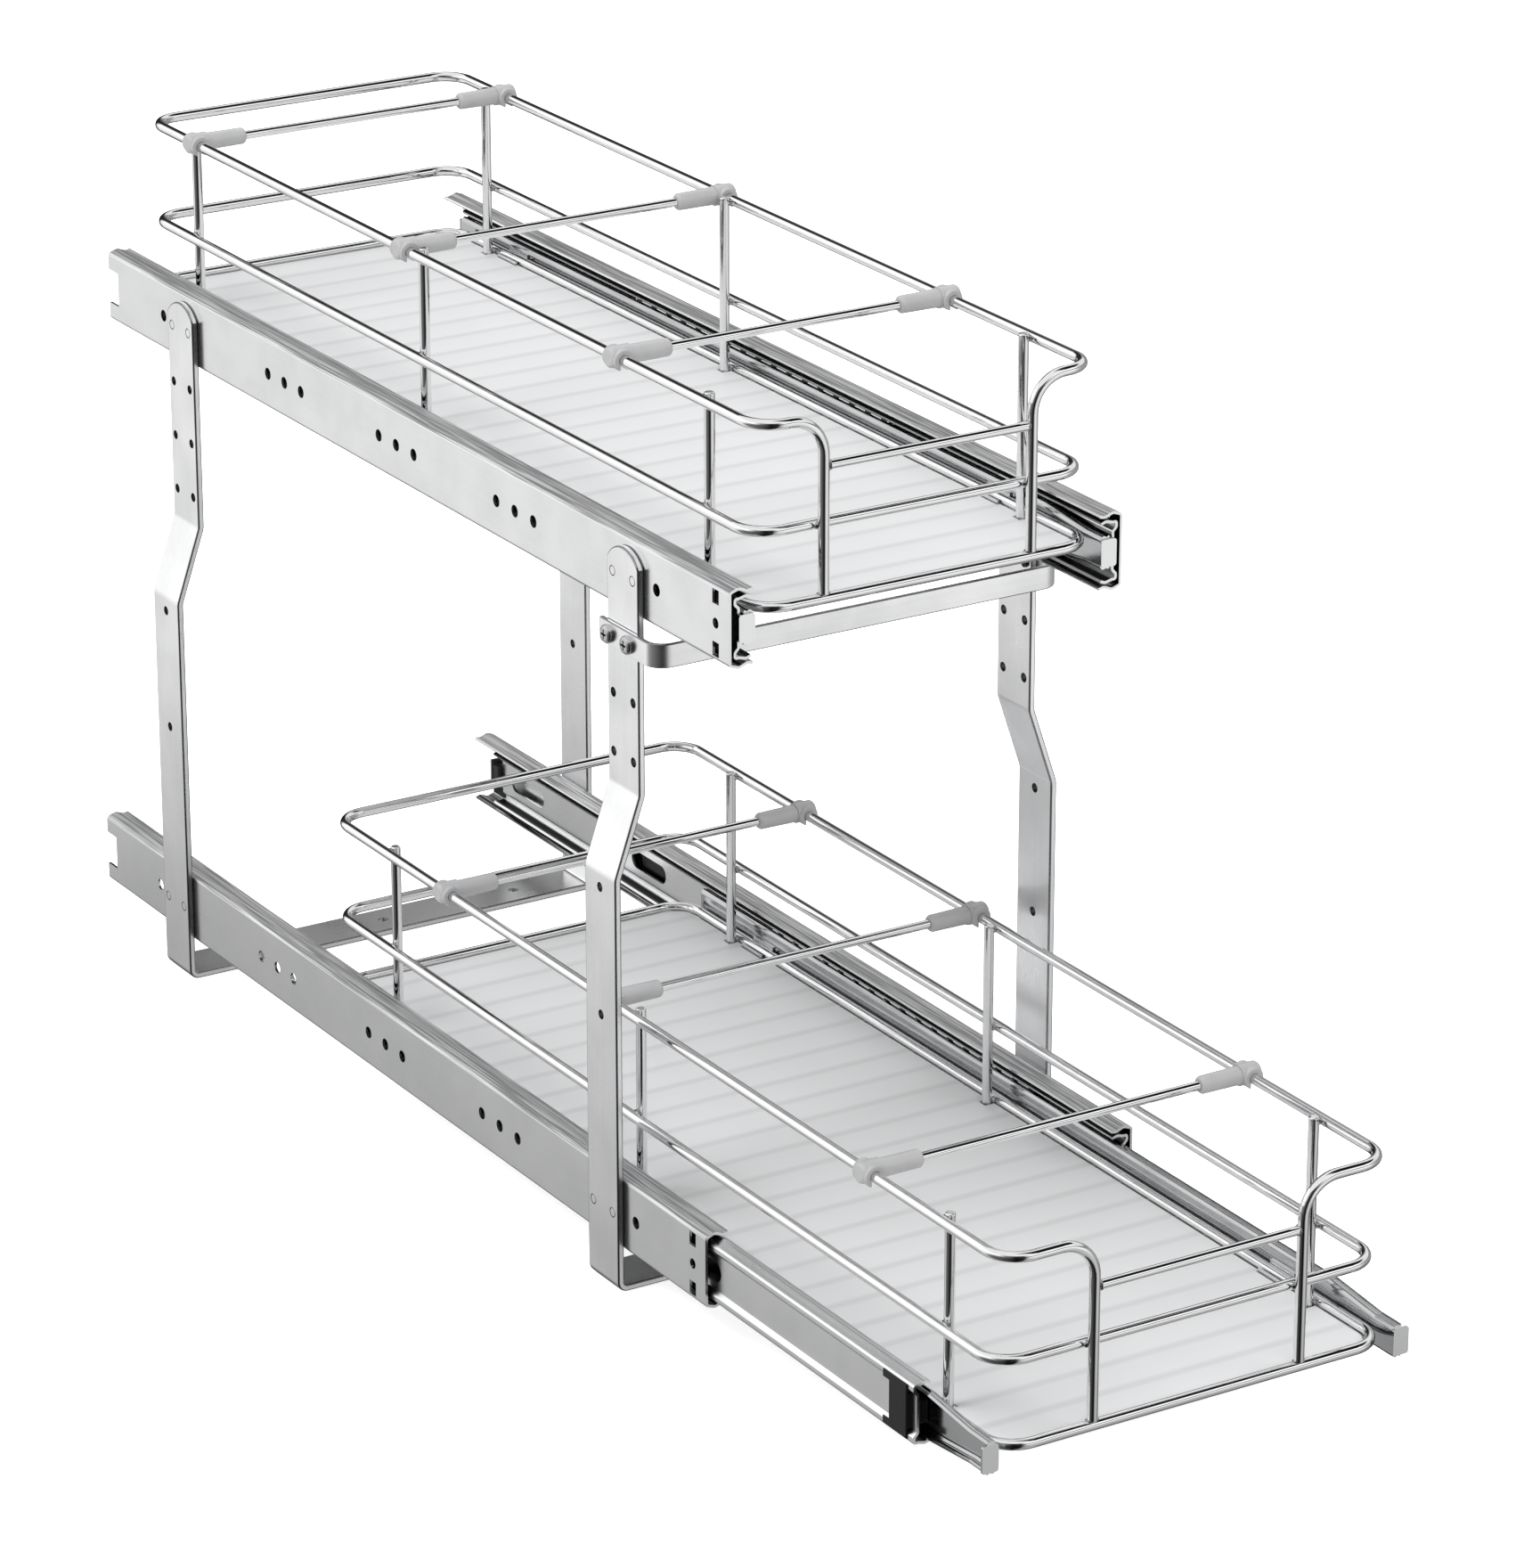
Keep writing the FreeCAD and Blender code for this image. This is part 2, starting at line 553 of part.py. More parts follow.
def front_crossbar():
    """Flat bar bent round the front posts, below the upper drawer."""
    half = CROSSBAR_THICKNESS / 2
    x = UPPER_WEB_X + STRAP_THICKNESS + half
    rear_y = -STRAP_Y + STRAP_WIDTH / 2 + CROSSBAR_LEG_OVERLAP
    front_y = CROSSBAR_FRONT_Y + half
    z = POST_HOLE_TOP_Z - CROSSBAR_HEIGHT / 2
    points = [VEC(-x, rear_y, z), VEC(-x, front_y, z), VEC(x, front_y, z), VEC(x, rear_y, z)]
    radii = [CROSSBAR_BEND_RADIUS, CROSSBAR_BEND_RADIUS]
    bar = bent_strip(points, radii, CROSSBAR_THICKNESS, ALONG_Z * CROSSBAR_HEIGHT)
    reach = x + CROSSBAR_THICKNESS
    holes = [drill(SCREW_DIAMETER + 2 * SCREW_FIT, -reach, reach, y, POST_HOLE_TOP_Z) for y in screw_ys()]
    return bar.cut(Part.makeCompound(holes))


def pan_head_screw(face_x, y, z):
    """Screw driven towards plus X, its head's underside at face_x."""
    length = CROSSBAR_THICKNESS + STRAP_THICKNESS + SCREW_TIP
    shank = drill(SCREW_DIAMETER, face_x, face_x + length, y, z)
    top = face_x - SCREW_HEAD_HEIGHT
    head = drill(SCREW_HEAD_DIAMETER, top, face_x, y, z)
    rim = [edge for edge in head.Edges if abs(edge.CenterOfMass.x - top) < NEAR]
    head = head.makeFillet(SCREW_HEAD_ROUNDING, rim)
    span = SCREW_RECESS_SPAN / 2
    slot = SCREW_RECESS_WIDTH / 2
    bottom = top + SCREW_RECESS_DEPTH
    cross = block(top - OVERSHOOT, bottom, y - span, y + span, z - slot, z + slot)
    cross = cross.fuse(block(top - OVERSHOOT, bottom, y - slot, y + slot, z - span, z + span))
    return head.fuse(shank).cut(cross).removeSplitter()


def crossbar_screws():
    face_x = -(UPPER_WEB_X + STRAP_THICKNESS + CROSSBAR_THICKNESS)
    screws = []
    for y in screw_ys():
        screws += both_sides(pan_head_screw(face_x, y, POST_HOLE_TOP_Z))
    return screws


# Drawers

class Drawer:
    """Sizes of one wire drawer in place, closed or pulled out."""

    def __init__(self, web_x, slide_z, bottom_v, rear_setback, dividers, pulled_out):
        self.face_x = web_x - DRAWER_FACE_U
        self.half_x = self.face_x - RAIL_CLIP_STEEL - RAIL_CLIP_GAP - WIRE / 2
        self.slide_z = slide_z
        self.top_z = slide_z + TOP_RING_V
        self.middle_z = slide_z + MIDDLE_RING_V
        self.bottom_z = slide_z + bottom_v
        self.rear_y = REAR_Y - rear_setback
        from_rear, behind_middle, from_front = dividers
        self.divider_ys = (REAR_Y - from_rear, MIDDLE_POST_Y + behind_middle, FRONT_Y + from_front)
        self.pulled_out = pulled_out
        self.corner = min(RING_CORNER_RADIUS, CORNER_SHARE * (self.half_x - LEG_X))
        self.leg_bend = min(LEG_BEND_RADIUS, LEG_BEND_SHARE * (self.half_x - LEG_X))
        self.post_x = self.half_x - (WIRE + POST_WIRE) / 2
        self.floor_z = self.bottom_z - (WIRE + FLOOR_WIRE) / 2

    def placed(self, solids):
        return [solid.translated(VEC(0, -self.pulled_out, 0)) for solid in solids]


def top_rail_wire(drawer):
    """Open hoop round the top, whose ends bend down as the two front legs."""
    front = BASKET_FRONT_Y
    foot_z = drawer.bottom_z + WIRE / 2
    half_x = drawer.half_x
    left = [VEC(-LEG_X, front, foot_z), VEC(-LEG_X, front, drawer.top_z),
            VEC(-half_x, front, drawer.top_z), VEC(-half_x, drawer.rear_y, drawer.top_z)]
    right = [VEC(-point.x, point.y, point.z) for point in reversed(left)]
    radii = [drawer.leg_bend, drawer.corner, drawer.corner]
    return [round_bar(left + right, radii + radii[::-1], WIRE)]


def closed_ring(drawer, front_y, z):
    """Wire bent into a rounded rectangle, its ends butt-welded at the back."""
    half_x = drawer.half_x
    corners = [VEC(0, drawer.rear_y, z), VEC(-half_x, drawer.rear_y, z), VEC(-half_x, front_y, z),
               VEC(half_x, front_y, z), VEC(half_x, drawer.rear_y, z), VEC(0, drawer.rear_y, z)]
    return [round_bar(corners, [RING_CORNER_RADIUS] * 4, WIRE)]


def side_posts(drawer):
    """Short uprights welded inside the three rings."""
    low_z = drawer.bottom_z - WIRE / 2
    high_z = drawer.top_z + WIRE / 2
    posts = []
    for y in SIDE_POST_YS:
        foot = VEC(-drawer.post_x, y, low_z)
        post = straight_wire(foot, VEC(-drawer.post_x, y, high_z), POST_WIRE)
        top = [edge for edge in post.Edges if abs(edge.CenterOfMass.z - high_z) < NEAR]
        posts += both_sides(post.makeFillet(POST_END_ROUNDING, top))
    return posts


def front_cross_wire(drawer):
    """Thin wire between the two front legs."""
    z = drawer.slide_z + CROSS_WIRE_V
    reach = LEG_X - WIRE / 2
    return [straight_wire(VEC(-reach, BASKET_FRONT_Y, z), VEC(reach, BASKET_FRONT_Y, z), CROSS_WIRE)]


def floor_wire_ys(drawer):
    """Floor wires at one pitch, set so that the rail clips fall between them."""
    first = BASKET_FRONT_Y + FLOOR_WIRE_END_MARGIN
    last = drawer.rear_y - FLOOR_WIRE_END_MARGIN
    y = RAIL_CLIP_Y + FLOOR_WIRE_PITCH / 2
    while y + FLOOR_WIRE_PITCH < last:
        y += FLOOR_WIRE_PITCH
    ys = []
    while y > first:
        ys.append(y)
        y -= FLOOR_WIRE_PITCH
    return ys


def floor_wires(drawer):
    wires = []
    for y in floor_wire_ys(drawer):
        start = VEC(-drawer.half_x, y, drawer.floor_z)
        wires.append(straight_wire(start, VEC(drawer.half_x, y, drawer.floor_z), FLOOR_WIRE))
    return wires


def clip_lip_x(drawer):
    """Centre of the rail clip's inner lip."""
    return drawer.half_x - WIRE / 2 - RAIL_CLIP_LIP_GAP - RAIL_CLIP_STEEL / 2


def rail_clips(drawer):
    """Folded steel clips, welded to the drawer rails, that cradle the bottom ring."""
    leg_x = drawer.face_x - RAIL_CLIP_STEEL / 2
    lip_x = clip_lip_x(drawer)
    top_z = drawer.bottom_z + RAIL_CLIP_RISE
    low_z = drawer.bottom_z - WIRE / 2 - RAIL_CLIP_GAP - RAIL_CLIP_STEEL / 2
    clips = []
    for y in (-RAIL_CLIP_Y, RAIL_CLIP_Y):
        front_y = y - RAIL_CLIP_LENGTH / 2
        points = [VEC(-leg_x, front_y, top_z), VEC(-leg_x, front_y, low_z),
                  VEC(-lip_x, front_y, low_z), VEC(-lip_x, front_y, drawer.bottom_z + RAIL_CLIP_LIP_RISE)]
        length = ALONG_Y * RAIL_CLIP_LENGTH
        clip = bent_strip(points, [RAIL_CLIP_BEND, RAIL_CLIP_BEND], RAIL_CLIP_STEEL, length)
        clips += both_sides(clip)
    return clips


def mat(drawer):
    """Plastic mat on the floor wires, notched round the posts and the rail clips."""
    inset = WIRE / 2 + MAT_GAP
    half_x = drawer.half_x - inset
    z = drawer.bottom_z - WIRE / 2
    sheet = block(-half_x, half_x, BASKET_FRONT_Y + inset, drawer.rear_y - inset, z, z + MAT_THICKNESS)
    corners = [edge for edge in sheet.Edges if edge.Length < MAT_THICKNESS * 1.01]
    sheet = sheet.makeFillet(RING_CORNER_RADIUS - inset, corners)
    post_half = POST_WIRE / 2 + MAT_NOTCH_GAP
    clip_half = RAIL_CLIP_LENGTH / 2 + MAT_NOTCH_GAP
    clip_x = clip_lip_x(drawer) - RAIL_CLIP_STEEL / 2 - MAT_NOTCH_GAP
    cutters = []
    for y in SIDE_POST_YS:
        notch = block(drawer.post_x - post_half, drawer.half_x, y - post_half, y + post_half,
                      z - OVERSHOOT, z + MAT_THICKNESS + OVERSHOOT)
        cutters += both_sides(notch)
    for y in (-RAIL_CLIP_Y, RAIL_CLIP_Y):
        notch = block(clip_x, drawer.half_x, y - clip_half, y + clip_half,
                      z - OVERSHOOT, z + MAT_THICKNESS + OVERSHOOT)
        cutters += both_sides(notch)
    return [sheet.cut(Part.makeCompound(cutters))]


def divider_rod(drawer, y):
    reach = drawer.half_x - SLEEVE_LENGTH + ROD_SOCKET_DEPTH
    z = drawer.top_z + DIVIDER_RISE
    return [straight_wire(VEC(-reach, y, z), VEC(reach, y, z), DIVIDER_ROD)]


def rounded_ends(bar, radius, ends):
    """Round bar with its rims filleted round these end points."""
    rims = [edge for edge in bar.Edges for end in ends if edge.CenterOfMass.distanceToPoint(end) < NEAR]
    return bar.makeFillet(radius, rims)


def divider_clips(drawer, y):
    """Moulded clips: a split collar on the top wire, in a round head with a sleeve for the rod."""
    centre = VEC(-drawer.half_x, y, drawer.top_z)
    bore = WIRE + 2 * CLIP_GAP
    collar_ends = [centre - ALONG_Y * (CLIP_LENGTH / 2), centre + ALONG_Y * (CLIP_LENGTH / 2)]
    collar = straight_wire(*collar_ends, bore + 2 * CLIP_WALL)
    collar = rounded_ends(collar, CLIP_EDGE_ROUNDING, collar_ends)
    rod_line = centre + ALONG_Z * DIVIDER_RISE
    head_ends = [rod_line - ALONG_X * CLIP_HEAD_REACH, rod_line + ALONG_X * CLIP_HEAD_REACH]
    head = straight_wire(*head_ends, CLIP_HEAD_DIAMETER)
    head = rounded_ends(head, CLIP_HEAD_ROUNDING, head_ends[:1])
    sleeve = Part.makeCone(SLEEVE_BASE_DIAMETER / 2, SLEEVE_TIP_DIAMETER / 2, SLEEVE_LENGTH,
                           rod_line, ALONG_X)
    sleeve = rounded_ends(sleeve, SLEEVE_TIP_ROUNDING, [rod_line + ALONG_X * SLEEVE_LENGTH])
    hole = straight_wire(centre - ALONG_Y * CLIP_LENGTH, centre + ALONG_Y * CLIP_LENGTH, bore)
    mouth = block(centre.x - CLIP_MOUTH / 2, centre.x + CLIP_MOUTH / 2, y - CLIP_LENGTH, y + CLIP_LENGTH,
                  drawer.top_z - 2 * CLIP_HEAD_DIAMETER, drawer.top_z)
    socket_start = rod_line + ALONG_X * (SLEEVE_LENGTH - ROD_SOCKET_DEPTH)
    socket = straight_wire(socket_start, socket_start + ALONG_X * SLEEVE_LENGTH, DIVIDER_ROD + 2 * ROD_FIT)
    clip = collar.multiFuse([head, sleeve]).cut(hole).cut(mouth).cut(socket).removeSplitter()
    return both_sides(clip)


# Build

def build_frame():
    save("front_frame_strap", [frame_strap(-STRAP_Y)])
    save("rear_frame_strap", [frame_strap(STRAP_Y)])
    save("front_crossbar", [front_crossbar()])
    save("crossbar_screws", crossbar_screws())
    save("frame_rivets", frame_rivets())


def build_slides():
    members = {"outer_rail": [outer_rail()], "mid_rail": [mid_rail()], "mid_latch": [mid_latch()],
               "inner_rail": [inner_rail()], "outer_ball_cage": outer_cage(), "inner_ball_cage": inner_cage()}
    stop = [bumper()]
    bumpers = []
    for tier, web_x, slide_z, drawer_out in (("upper", UPPER_WEB_X, UPPER_SLIDE_Z, 0),
                                             ("lower", LOWER_WEB_X, LOWER_SLIDE_Z, LOWER_PULLED_OUT)):
        for side in ("left", "right"):
            mid_out = LOWER_LEFT_MID_OUT if (tier, side) == ("lower", "left") else 0
            pulled = {"outer_rail": 0, "mid_rail": mid_out, "mid_latch": mid_out,
                      "inner_rail": drawer_out, "outer_ball_cage": mid_out / 2,
                      "inner_ball_cage": (mid_out + drawer_out) / 2}
            for name, solids in members.items():
                save("_".join((tier, side, name)), seat(solids, side, web_x, slide_z, pulled[name]))
            bumpers += seat(stop, side, web_x, slide_z, 0)
    save("rail_bumpers", bumpers)


def build_drawer(tier, drawer):
    save(tier + "_top_rail_wire", drawer.placed(top_rail_wire(drawer)))
    save(tier + "_middle_ring", drawer.placed(closed_ring(drawer, BASKET_FRONT_Y + WIRE, drawer.middle_z)))
    save(tier + "_bottom_ring", drawer.placed(closed_ring(drawer, BASKET_FRONT_Y, drawer.bottom_z)))
    save(tier + "_side_posts", drawer.placed(side_posts(drawer)))
    save(tier + "_front_cross_wire", drawer.placed(front_cross_wire(drawer)))
    save(tier + "_floor_wires", drawer.placed(floor_wires(drawer)))
    save(tier + "_mat", drawer.placed(mat(drawer)))
    save(tier + "_rail_clips", drawer.placed(rail_clips(drawer)))
    for number, y in enumerate(drawer.divider_ys, 1):
        save(tier + "_divider_rod_" + str(number), drawer.placed(divider_rod(drawer, y)))
        save(tier + "_divider_clips_" + str(number), drawer.placed(divider_clips(drawer, y)))


os.makedirs("parts", exist_ok=True)
build_frame()
build_slides()
build_drawer("upper", Drawer(UPPER_WEB_X, UPPER_SLIDE_Z, UPPER_BOTTOM_RING_V, UPPER_BASKET_REAR_SETBACK,
                             UPPER_DIVIDERS, 0))
build_drawer("lower", Drawer(LOWER_WEB_X, LOWER_SLIDE_Z, LOWER_BOTTOM_RING_V, LOWER_BASKET_REAR_SETBACK,
                             LOWER_DIVIDERS, LOWER_PULLED_OUT))
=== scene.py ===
import json
import math

import bpy
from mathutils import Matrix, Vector

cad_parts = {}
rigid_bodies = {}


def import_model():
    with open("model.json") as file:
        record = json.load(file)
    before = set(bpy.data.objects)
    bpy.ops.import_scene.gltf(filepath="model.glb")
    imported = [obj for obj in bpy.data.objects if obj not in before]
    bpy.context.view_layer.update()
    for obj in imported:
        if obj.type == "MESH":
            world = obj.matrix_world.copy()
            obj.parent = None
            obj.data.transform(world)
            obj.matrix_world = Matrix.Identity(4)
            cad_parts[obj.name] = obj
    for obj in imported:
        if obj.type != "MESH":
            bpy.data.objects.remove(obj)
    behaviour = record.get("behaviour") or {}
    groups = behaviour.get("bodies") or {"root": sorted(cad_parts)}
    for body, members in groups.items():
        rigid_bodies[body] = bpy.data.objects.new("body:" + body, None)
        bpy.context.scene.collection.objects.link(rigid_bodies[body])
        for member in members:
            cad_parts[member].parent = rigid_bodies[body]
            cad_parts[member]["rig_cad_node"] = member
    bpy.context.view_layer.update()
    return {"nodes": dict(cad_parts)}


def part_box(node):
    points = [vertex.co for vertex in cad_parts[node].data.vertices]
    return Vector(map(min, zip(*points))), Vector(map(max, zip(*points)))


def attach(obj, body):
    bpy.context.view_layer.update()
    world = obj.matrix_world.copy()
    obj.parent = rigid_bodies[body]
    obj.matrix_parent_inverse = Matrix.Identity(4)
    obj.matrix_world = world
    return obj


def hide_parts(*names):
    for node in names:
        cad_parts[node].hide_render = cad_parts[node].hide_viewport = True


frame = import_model()


# The camera stands to the left of the front and above, at the photograph's viewing angle.
# Its image is 1720 by 1760 pixels, and its focal length is given in the same pixels.
IMAGE_HEIGHT = 1760
FOCAL_LENGTH = 7268.45
CAMERA_PLACE = (-1.35467, -2.35731, 1.19198)
CAMERA_AZIMUTH = -31.57
CAMERA_ELEVATION = 21.18
VIEW_REACH = 60

bpy.ops.object.camera_add(
    location=CAMERA_PLACE,
    rotation=(math.radians(90 - CAMERA_ELEVATION), 0, math.radians(CAMERA_AZIMUTH)),
)
camera = bpy.context.object
camera.data.lens = FOCAL_LENGTH / IMAGE_HEIGHT * camera.data.sensor_width
camera.data.clip_end = VIEW_REACH
bpy.context.scene.camera = camera


# The studio: a pale floor under a white room with soft lamps overhead. The metal mirrors white
# sheets to the left and to the front right of the lens, a black drop behind it, a dark wall
# behind the object with a grey one on its right, and a gap in the ceiling over the grey wall.
FLOOR_SIZE = 24.0
FLOOR_DROP = 0.0005
FLOOR_COLOUR = (0.9, 0.9, 0.9, 1)
FLOOR_ROUGHNESS = 0.9
FLOOR_SHINE = 0.1
FLOOR_GLOW = 0.78
FLOOR_GLOW_COLOUR = (1, 1, 1, 1)
LENS_AXIS = (math.sin(math.radians(-CAMERA_AZIMUTH)), math.cos(math.radians(-CAMERA_AZIMUTH)), 0)
SIDE_AXIS = (-LENS_AXIS[1], LENS_AXIS[0], 0)
FLOOR_TONES = ((-180, 0.01), (-158, 0.02), (-146, 0.6), (-128, 0.92), (-104, 0.92), (-80, 0.42),
               (-45, 0.34), (-9, 0.28), (1, 0.03), (36, 0.03), (50, 0.62), (60, 1.0), (88, 0.94),
               (104, 0.22), (150, 0.1), (180, 0.01))
HORIZON_TONES = ((-180, 0.01), (-155, 0.03), (-140, 1.0), (-100, 1.2), (-75, 0.42), (-40, 0.34),
                 (-9, 0.28), (1, 0.03), (34, 0.02), (48, 1.1), (75, 1.2), (100, 1.0), (120, 0.25),
                 (180, 0.01))
GAP_TONES = ((-180, 0.01), (-150, 0.03), (-135, 0.06), (-90, 0.06), (-75, 0.3), (-40, 0.3),
             (-5, 0.3), (5, 0.02), (34, 0.02), (48, 1.2), (75, 1.3), (130, 1.1), (150, 0.2),
             (180, 0.01))
SKY_TONES = ((-180, 0.03), (-158, 0.08), (-140, 1.1), (-100, 1.3), (-75, 0.8), (-35, 0.95),
             (-5, 0.9), (5, 0.03), (33, 0.03), (47, 1.3), (75, 1.35), (130, 1.2), (152, 0.3),
             (180, 0.03))
CEILING_TONES = ((-180, 1.0), (-120, 1.0), (-109, 0.01), (-40, 0.01), (-26, 1.0), (180, 1.0))
FLOOR_TOP = (-0.2, -0.06)
HORIZON_TOP = (0.1, 0.18)
GAP_TOP = (0.26, 0.34)
SKY_TOP = (0.6, 0.66)
AMBIENT_TONE = 0.6
BACKDROP_TONE = 1.0
FOOTPRINT_CENTRE = (0, -0.1, 0)
FOOTPRINT_HALF = (0.11, 0.38, 0)
# Painted shade on the floor as the metal mirrors it: darkest near the object's footprint.
NEAR_FLOOR_SHADE_TONE = 0.5
FAR_FLOOR_TONE = 1.0
FLOOR_SHADE_REACH = 0.46
SOFTBOX_AIM = (0, 0, 0.2)
SOFTBOXES = (
    ("key_softbox", (-1.4, 0.2, 2.4), 1.6, 52),
    ("fill_softbox", (1.8, -1.6, 2.0), 1.6, 16),
    ("back_softbox", (0.6, 2.2, 2.2), 1.8, 22),
    ("front_softbox", (-0.5, -1.9, 1.2), 1.2, 11),
)


def joined(tree, kind, *wires, **settings):
    """A node of one kind, with wires or plain values into its inputs, by number or by name."""
    node = tree.nodes.new("ShaderNode" + kind)
    for name, value in settings.items():
        setattr(node, name, value)
    for socket, value in wires:
        if isinstance(value, bpy.types.NodeSocket):
            tree.links.new(value, node.inputs[socket])
        else:
            node.inputs[socket].default_value = value
    return node


def sums(tree, operation, a, b=0.0):
    """Arithmetic on one or two values."""
    return joined(tree, "Math", (0, a), (1, b), operation=operation).outputs[0]


def stepped(tree, value, low, high, to_low=0.0, to_high=1.0):
    """Smooth step from one value to another."""
    return joined(tree, "MapRange", ("Value", value), ("From Min", low), ("From Max", high),
                  ("To Min", to_low), ("To Max", to_high),
                  interpolation_type="SMOOTHSTEP").outputs["Result"]


def spread(tree, share, low, high):
    """A share from 0 to 1, spread evenly from one value to another."""
    return joined(tree, "MapRange", ("Value", share), ("To Min", low), ("To Max", high)).outputs["Result"]


def layered(tree, share, below, above):
    """One colour over another, by a share."""
    return joined(tree, "Mix", ("Factor", share), (6, below), (7, above), data_type="RGBA").outputs[2]


def blended(tree, share, below, above):
    """One value over another, by a share."""
    return joined(tree, "Mix", ("Factor", share), (2, below), (3, above)).outputs[0]


def apart_from(tree, centre):
    """Distance from a point along each axis."""
    place = joined(tree, "TexCoord").outputs["Object"]
    offset = joined(tree, "VectorMath", (0, place), (1, centre), operation="SUBTRACT").outputs[0]
    return joined(tree, "VectorMath", (0, offset), operation="ABSOLUTE").outputs[0]


def grey(tone):
    return (tone, tone, tone, 1)


def turn_ramp(tree, turn, tones):
    """Tones round the room, by the angle in degrees to the left of the lens axis."""
    ramp = joined(tree, "ValToRGB", ("Fac", turn))
    elements = ramp.color_ramp.elements
    while len(elements) < len(tones):
        elements.new(0.5)
    for element, (angle, tone) in zip(elements, tones):
        element.position = (angle + 180) / 360
        element.color = grey(tone)
    return ramp.outputs["Color"]


def new_material(name):
    """A material with its node tree and its shader."""
    material = bpy.data.materials.new(name)
    material.use_nodes = True
    return material, material.node_tree, material.node_tree.nodes["Principled BSDF"]


room = bpy.data.worlds.new("studio_room")
room.use_nodes = True
bpy.context.scene.world = room
tree = room.node_tree
direction = joined(tree, "TexCoord").outputs["Generated"]
to_side = joined(tree, "VectorMath", (0, direction), (1, SIDE_AXIS), operation="DOT_PRODUCT").outputs["Value"]
to_back = joined(tree, "VectorMath", (0, direction), (1, LENS_AXIS), operation="DOT_PRODUCT").outputs["Value"]
turn = sums(tree, "DIVIDE", sums(tree, "ARCTAN2", to_side, to_back), 2 * math.pi)
turn = sums(tree, "ADD", turn, 0.5)
height = joined(tree, "SeparateXYZ", (0, direction)).outputs["Z"]
mirrored = turn_ramp(tree, turn, FLOOR_TONES)
for top, tones in ((FLOOR_TOP, HORIZON_TONES), (HORIZON_TOP, GAP_TONES), (GAP_TOP, SKY_TONES),
                   (SKY_TOP, CEILING_TONES)):
    mirrored = layered(tree, stepped(tree, height, *top), mirrored, turn_ramp(tree, turn, tones))
seen = joined(tree, "LightPath").outputs
room_tone = layered(tree, seen["Is Glossy Ray"], grey(AMBIENT_TONE), mirrored)
room_tone = layered(tree, seen["Is Camera Ray"], room_tone, grey(BACKDROP_TONE))
tree.links.new(room_tone, tree.nodes["Background"].inputs["Color"])

# Mirrored in metal, the floor shows the room below it, with painted shade close to the object.
bpy.ops.mesh.primitive_plane_add(size=FLOOR_SIZE, location=(0, 0, -FLOOR_DROP))
floor = bpy.context.object
floor.name = "studio_floor"
floor_finish, tree, shader = new_material("studio_floor")
shader.inputs["Base Color"].default_value = FLOOR_COLOUR
shader.inputs["Roughness"].default_value = FLOOR_ROUGHNESS
shader.inputs["Specular IOR Level"].default_value = FLOOR_SHINE
shader.inputs["Emission Color"].default_value = FLOOR_GLOW_COLOUR
seen = joined(tree, "LightPath").outputs
tree.links.new(sums(tree, "MULTIPLY", seen["Is Camera Ray"], FLOOR_GLOW), shader.inputs["Emission Strength"])
offset = apart_from(tree, FOOTPRINT_CENTRE)
offset = joined(tree, "VectorMath", (0, offset), (1, FOOTPRINT_HALF), operation="SUBTRACT").outputs[0]
offset = joined(tree, "VectorMath", (0, offset), (1, (0, 0, 0)), operation="MAXIMUM").outputs[0]
reach = joined(tree, "VectorMath", (0, offset), operation="LENGTH").outputs["Value"]
# Painted shade: the mirrored floor darkens towards the object's footprint.
floor_shade = joined(tree, "MapRange", ("Value", reach), ("From Max", FLOOR_SHADE_REACH),
              ("To Min", NEAR_FLOOR_SHADE_TONE), ("To Max", FAR_FLOOR_TONE)).outputs["Result"]
floor_shade = joined(tree, "CombineColor", (0, floor_shade), (1, floor_shade), (2, floor_shade)).outputs[0]
clear = joined(tree, "BsdfTransparent", (0, floor_shade)).outputs[0]
surface = joined(tree, "MixShader", (0, seen["Is Glossy Ray"]), (1, shader.outputs[0]), (2, clear)).outputs[0]
tree.links.new(surface, tree.nodes["Material Output"].inputs["Surface"])
floor.data.materials.append(floor_finish)

for name, spot, size, power in SOFTBOXES:
    bpy.ops.object.light_add(type="AREA", location=spot)
    softbox = bpy.context.object
    softbox.name = name
    softbox.data.size = size
    softbox.data.energy = power
    softbox.visible_glossy = False
    softbox.rotation_euler = (Vector(SOFTBOX_AIM) - Vector(spot)).to_track_quat("-Z", "Y").to_euler()
bpy.context.scene.view_settings.view_transform = "Standard"


# The frame: two flat steel bars bent into posts and feet, zinc plated to a satin finish. Their
# rolled edges are round and carry painted shade. The crossbar is a smaller flat bar, bent round the front
# posts.
STRAP_WIDTH = 25.0
STRAP_Y = {"front": -200.0, "rear": 200.0}
STRAP_DOME_Z = 313.4
STRAP_DOME_RADIUS = 15.0
STRAP_POST_X = 90.0
STRAP_FOOT_Z = 12.0
STRAP_EDGE_RADIUS = 0.7
CROSSBAR_EDGE_RADIUS = 0.6
RIM_GAP = 0.3
HOLE_WALL_FACING = 0.3
LEVEL_FACING = 0.999
MERGE_DISTANCE = 1e-6
FLAT_ANGLE = math.radians(0.8)
SHARP_ANGLE = math.radians(40)
SMOOTH_ANGLE = math.radians(35)
STRAP_TONES = ((0.82, 0.825, 0.83, 1), (0.98, 0.98, 0.985, 1))
STRAP_ROUGHNESS = (0.24, 0.36)
STRAP_LINES = (1, 1, 0.02)
CROSSBAR_LINES = (0.02, 0.02, 1)
STRAP_LINE_WIDTH = 0.0012
STRAP_BUMP = 0.12
# Painted shade on the rounded edges: a dark tone for the dark lines along them.
CORNER_SHADE_TONES = ((0.24, 0.24, 0.245, 1), (0.34, 0.34, 0.345, 1))
CORNER_ROUGHNESS = (0.2, 0.3)
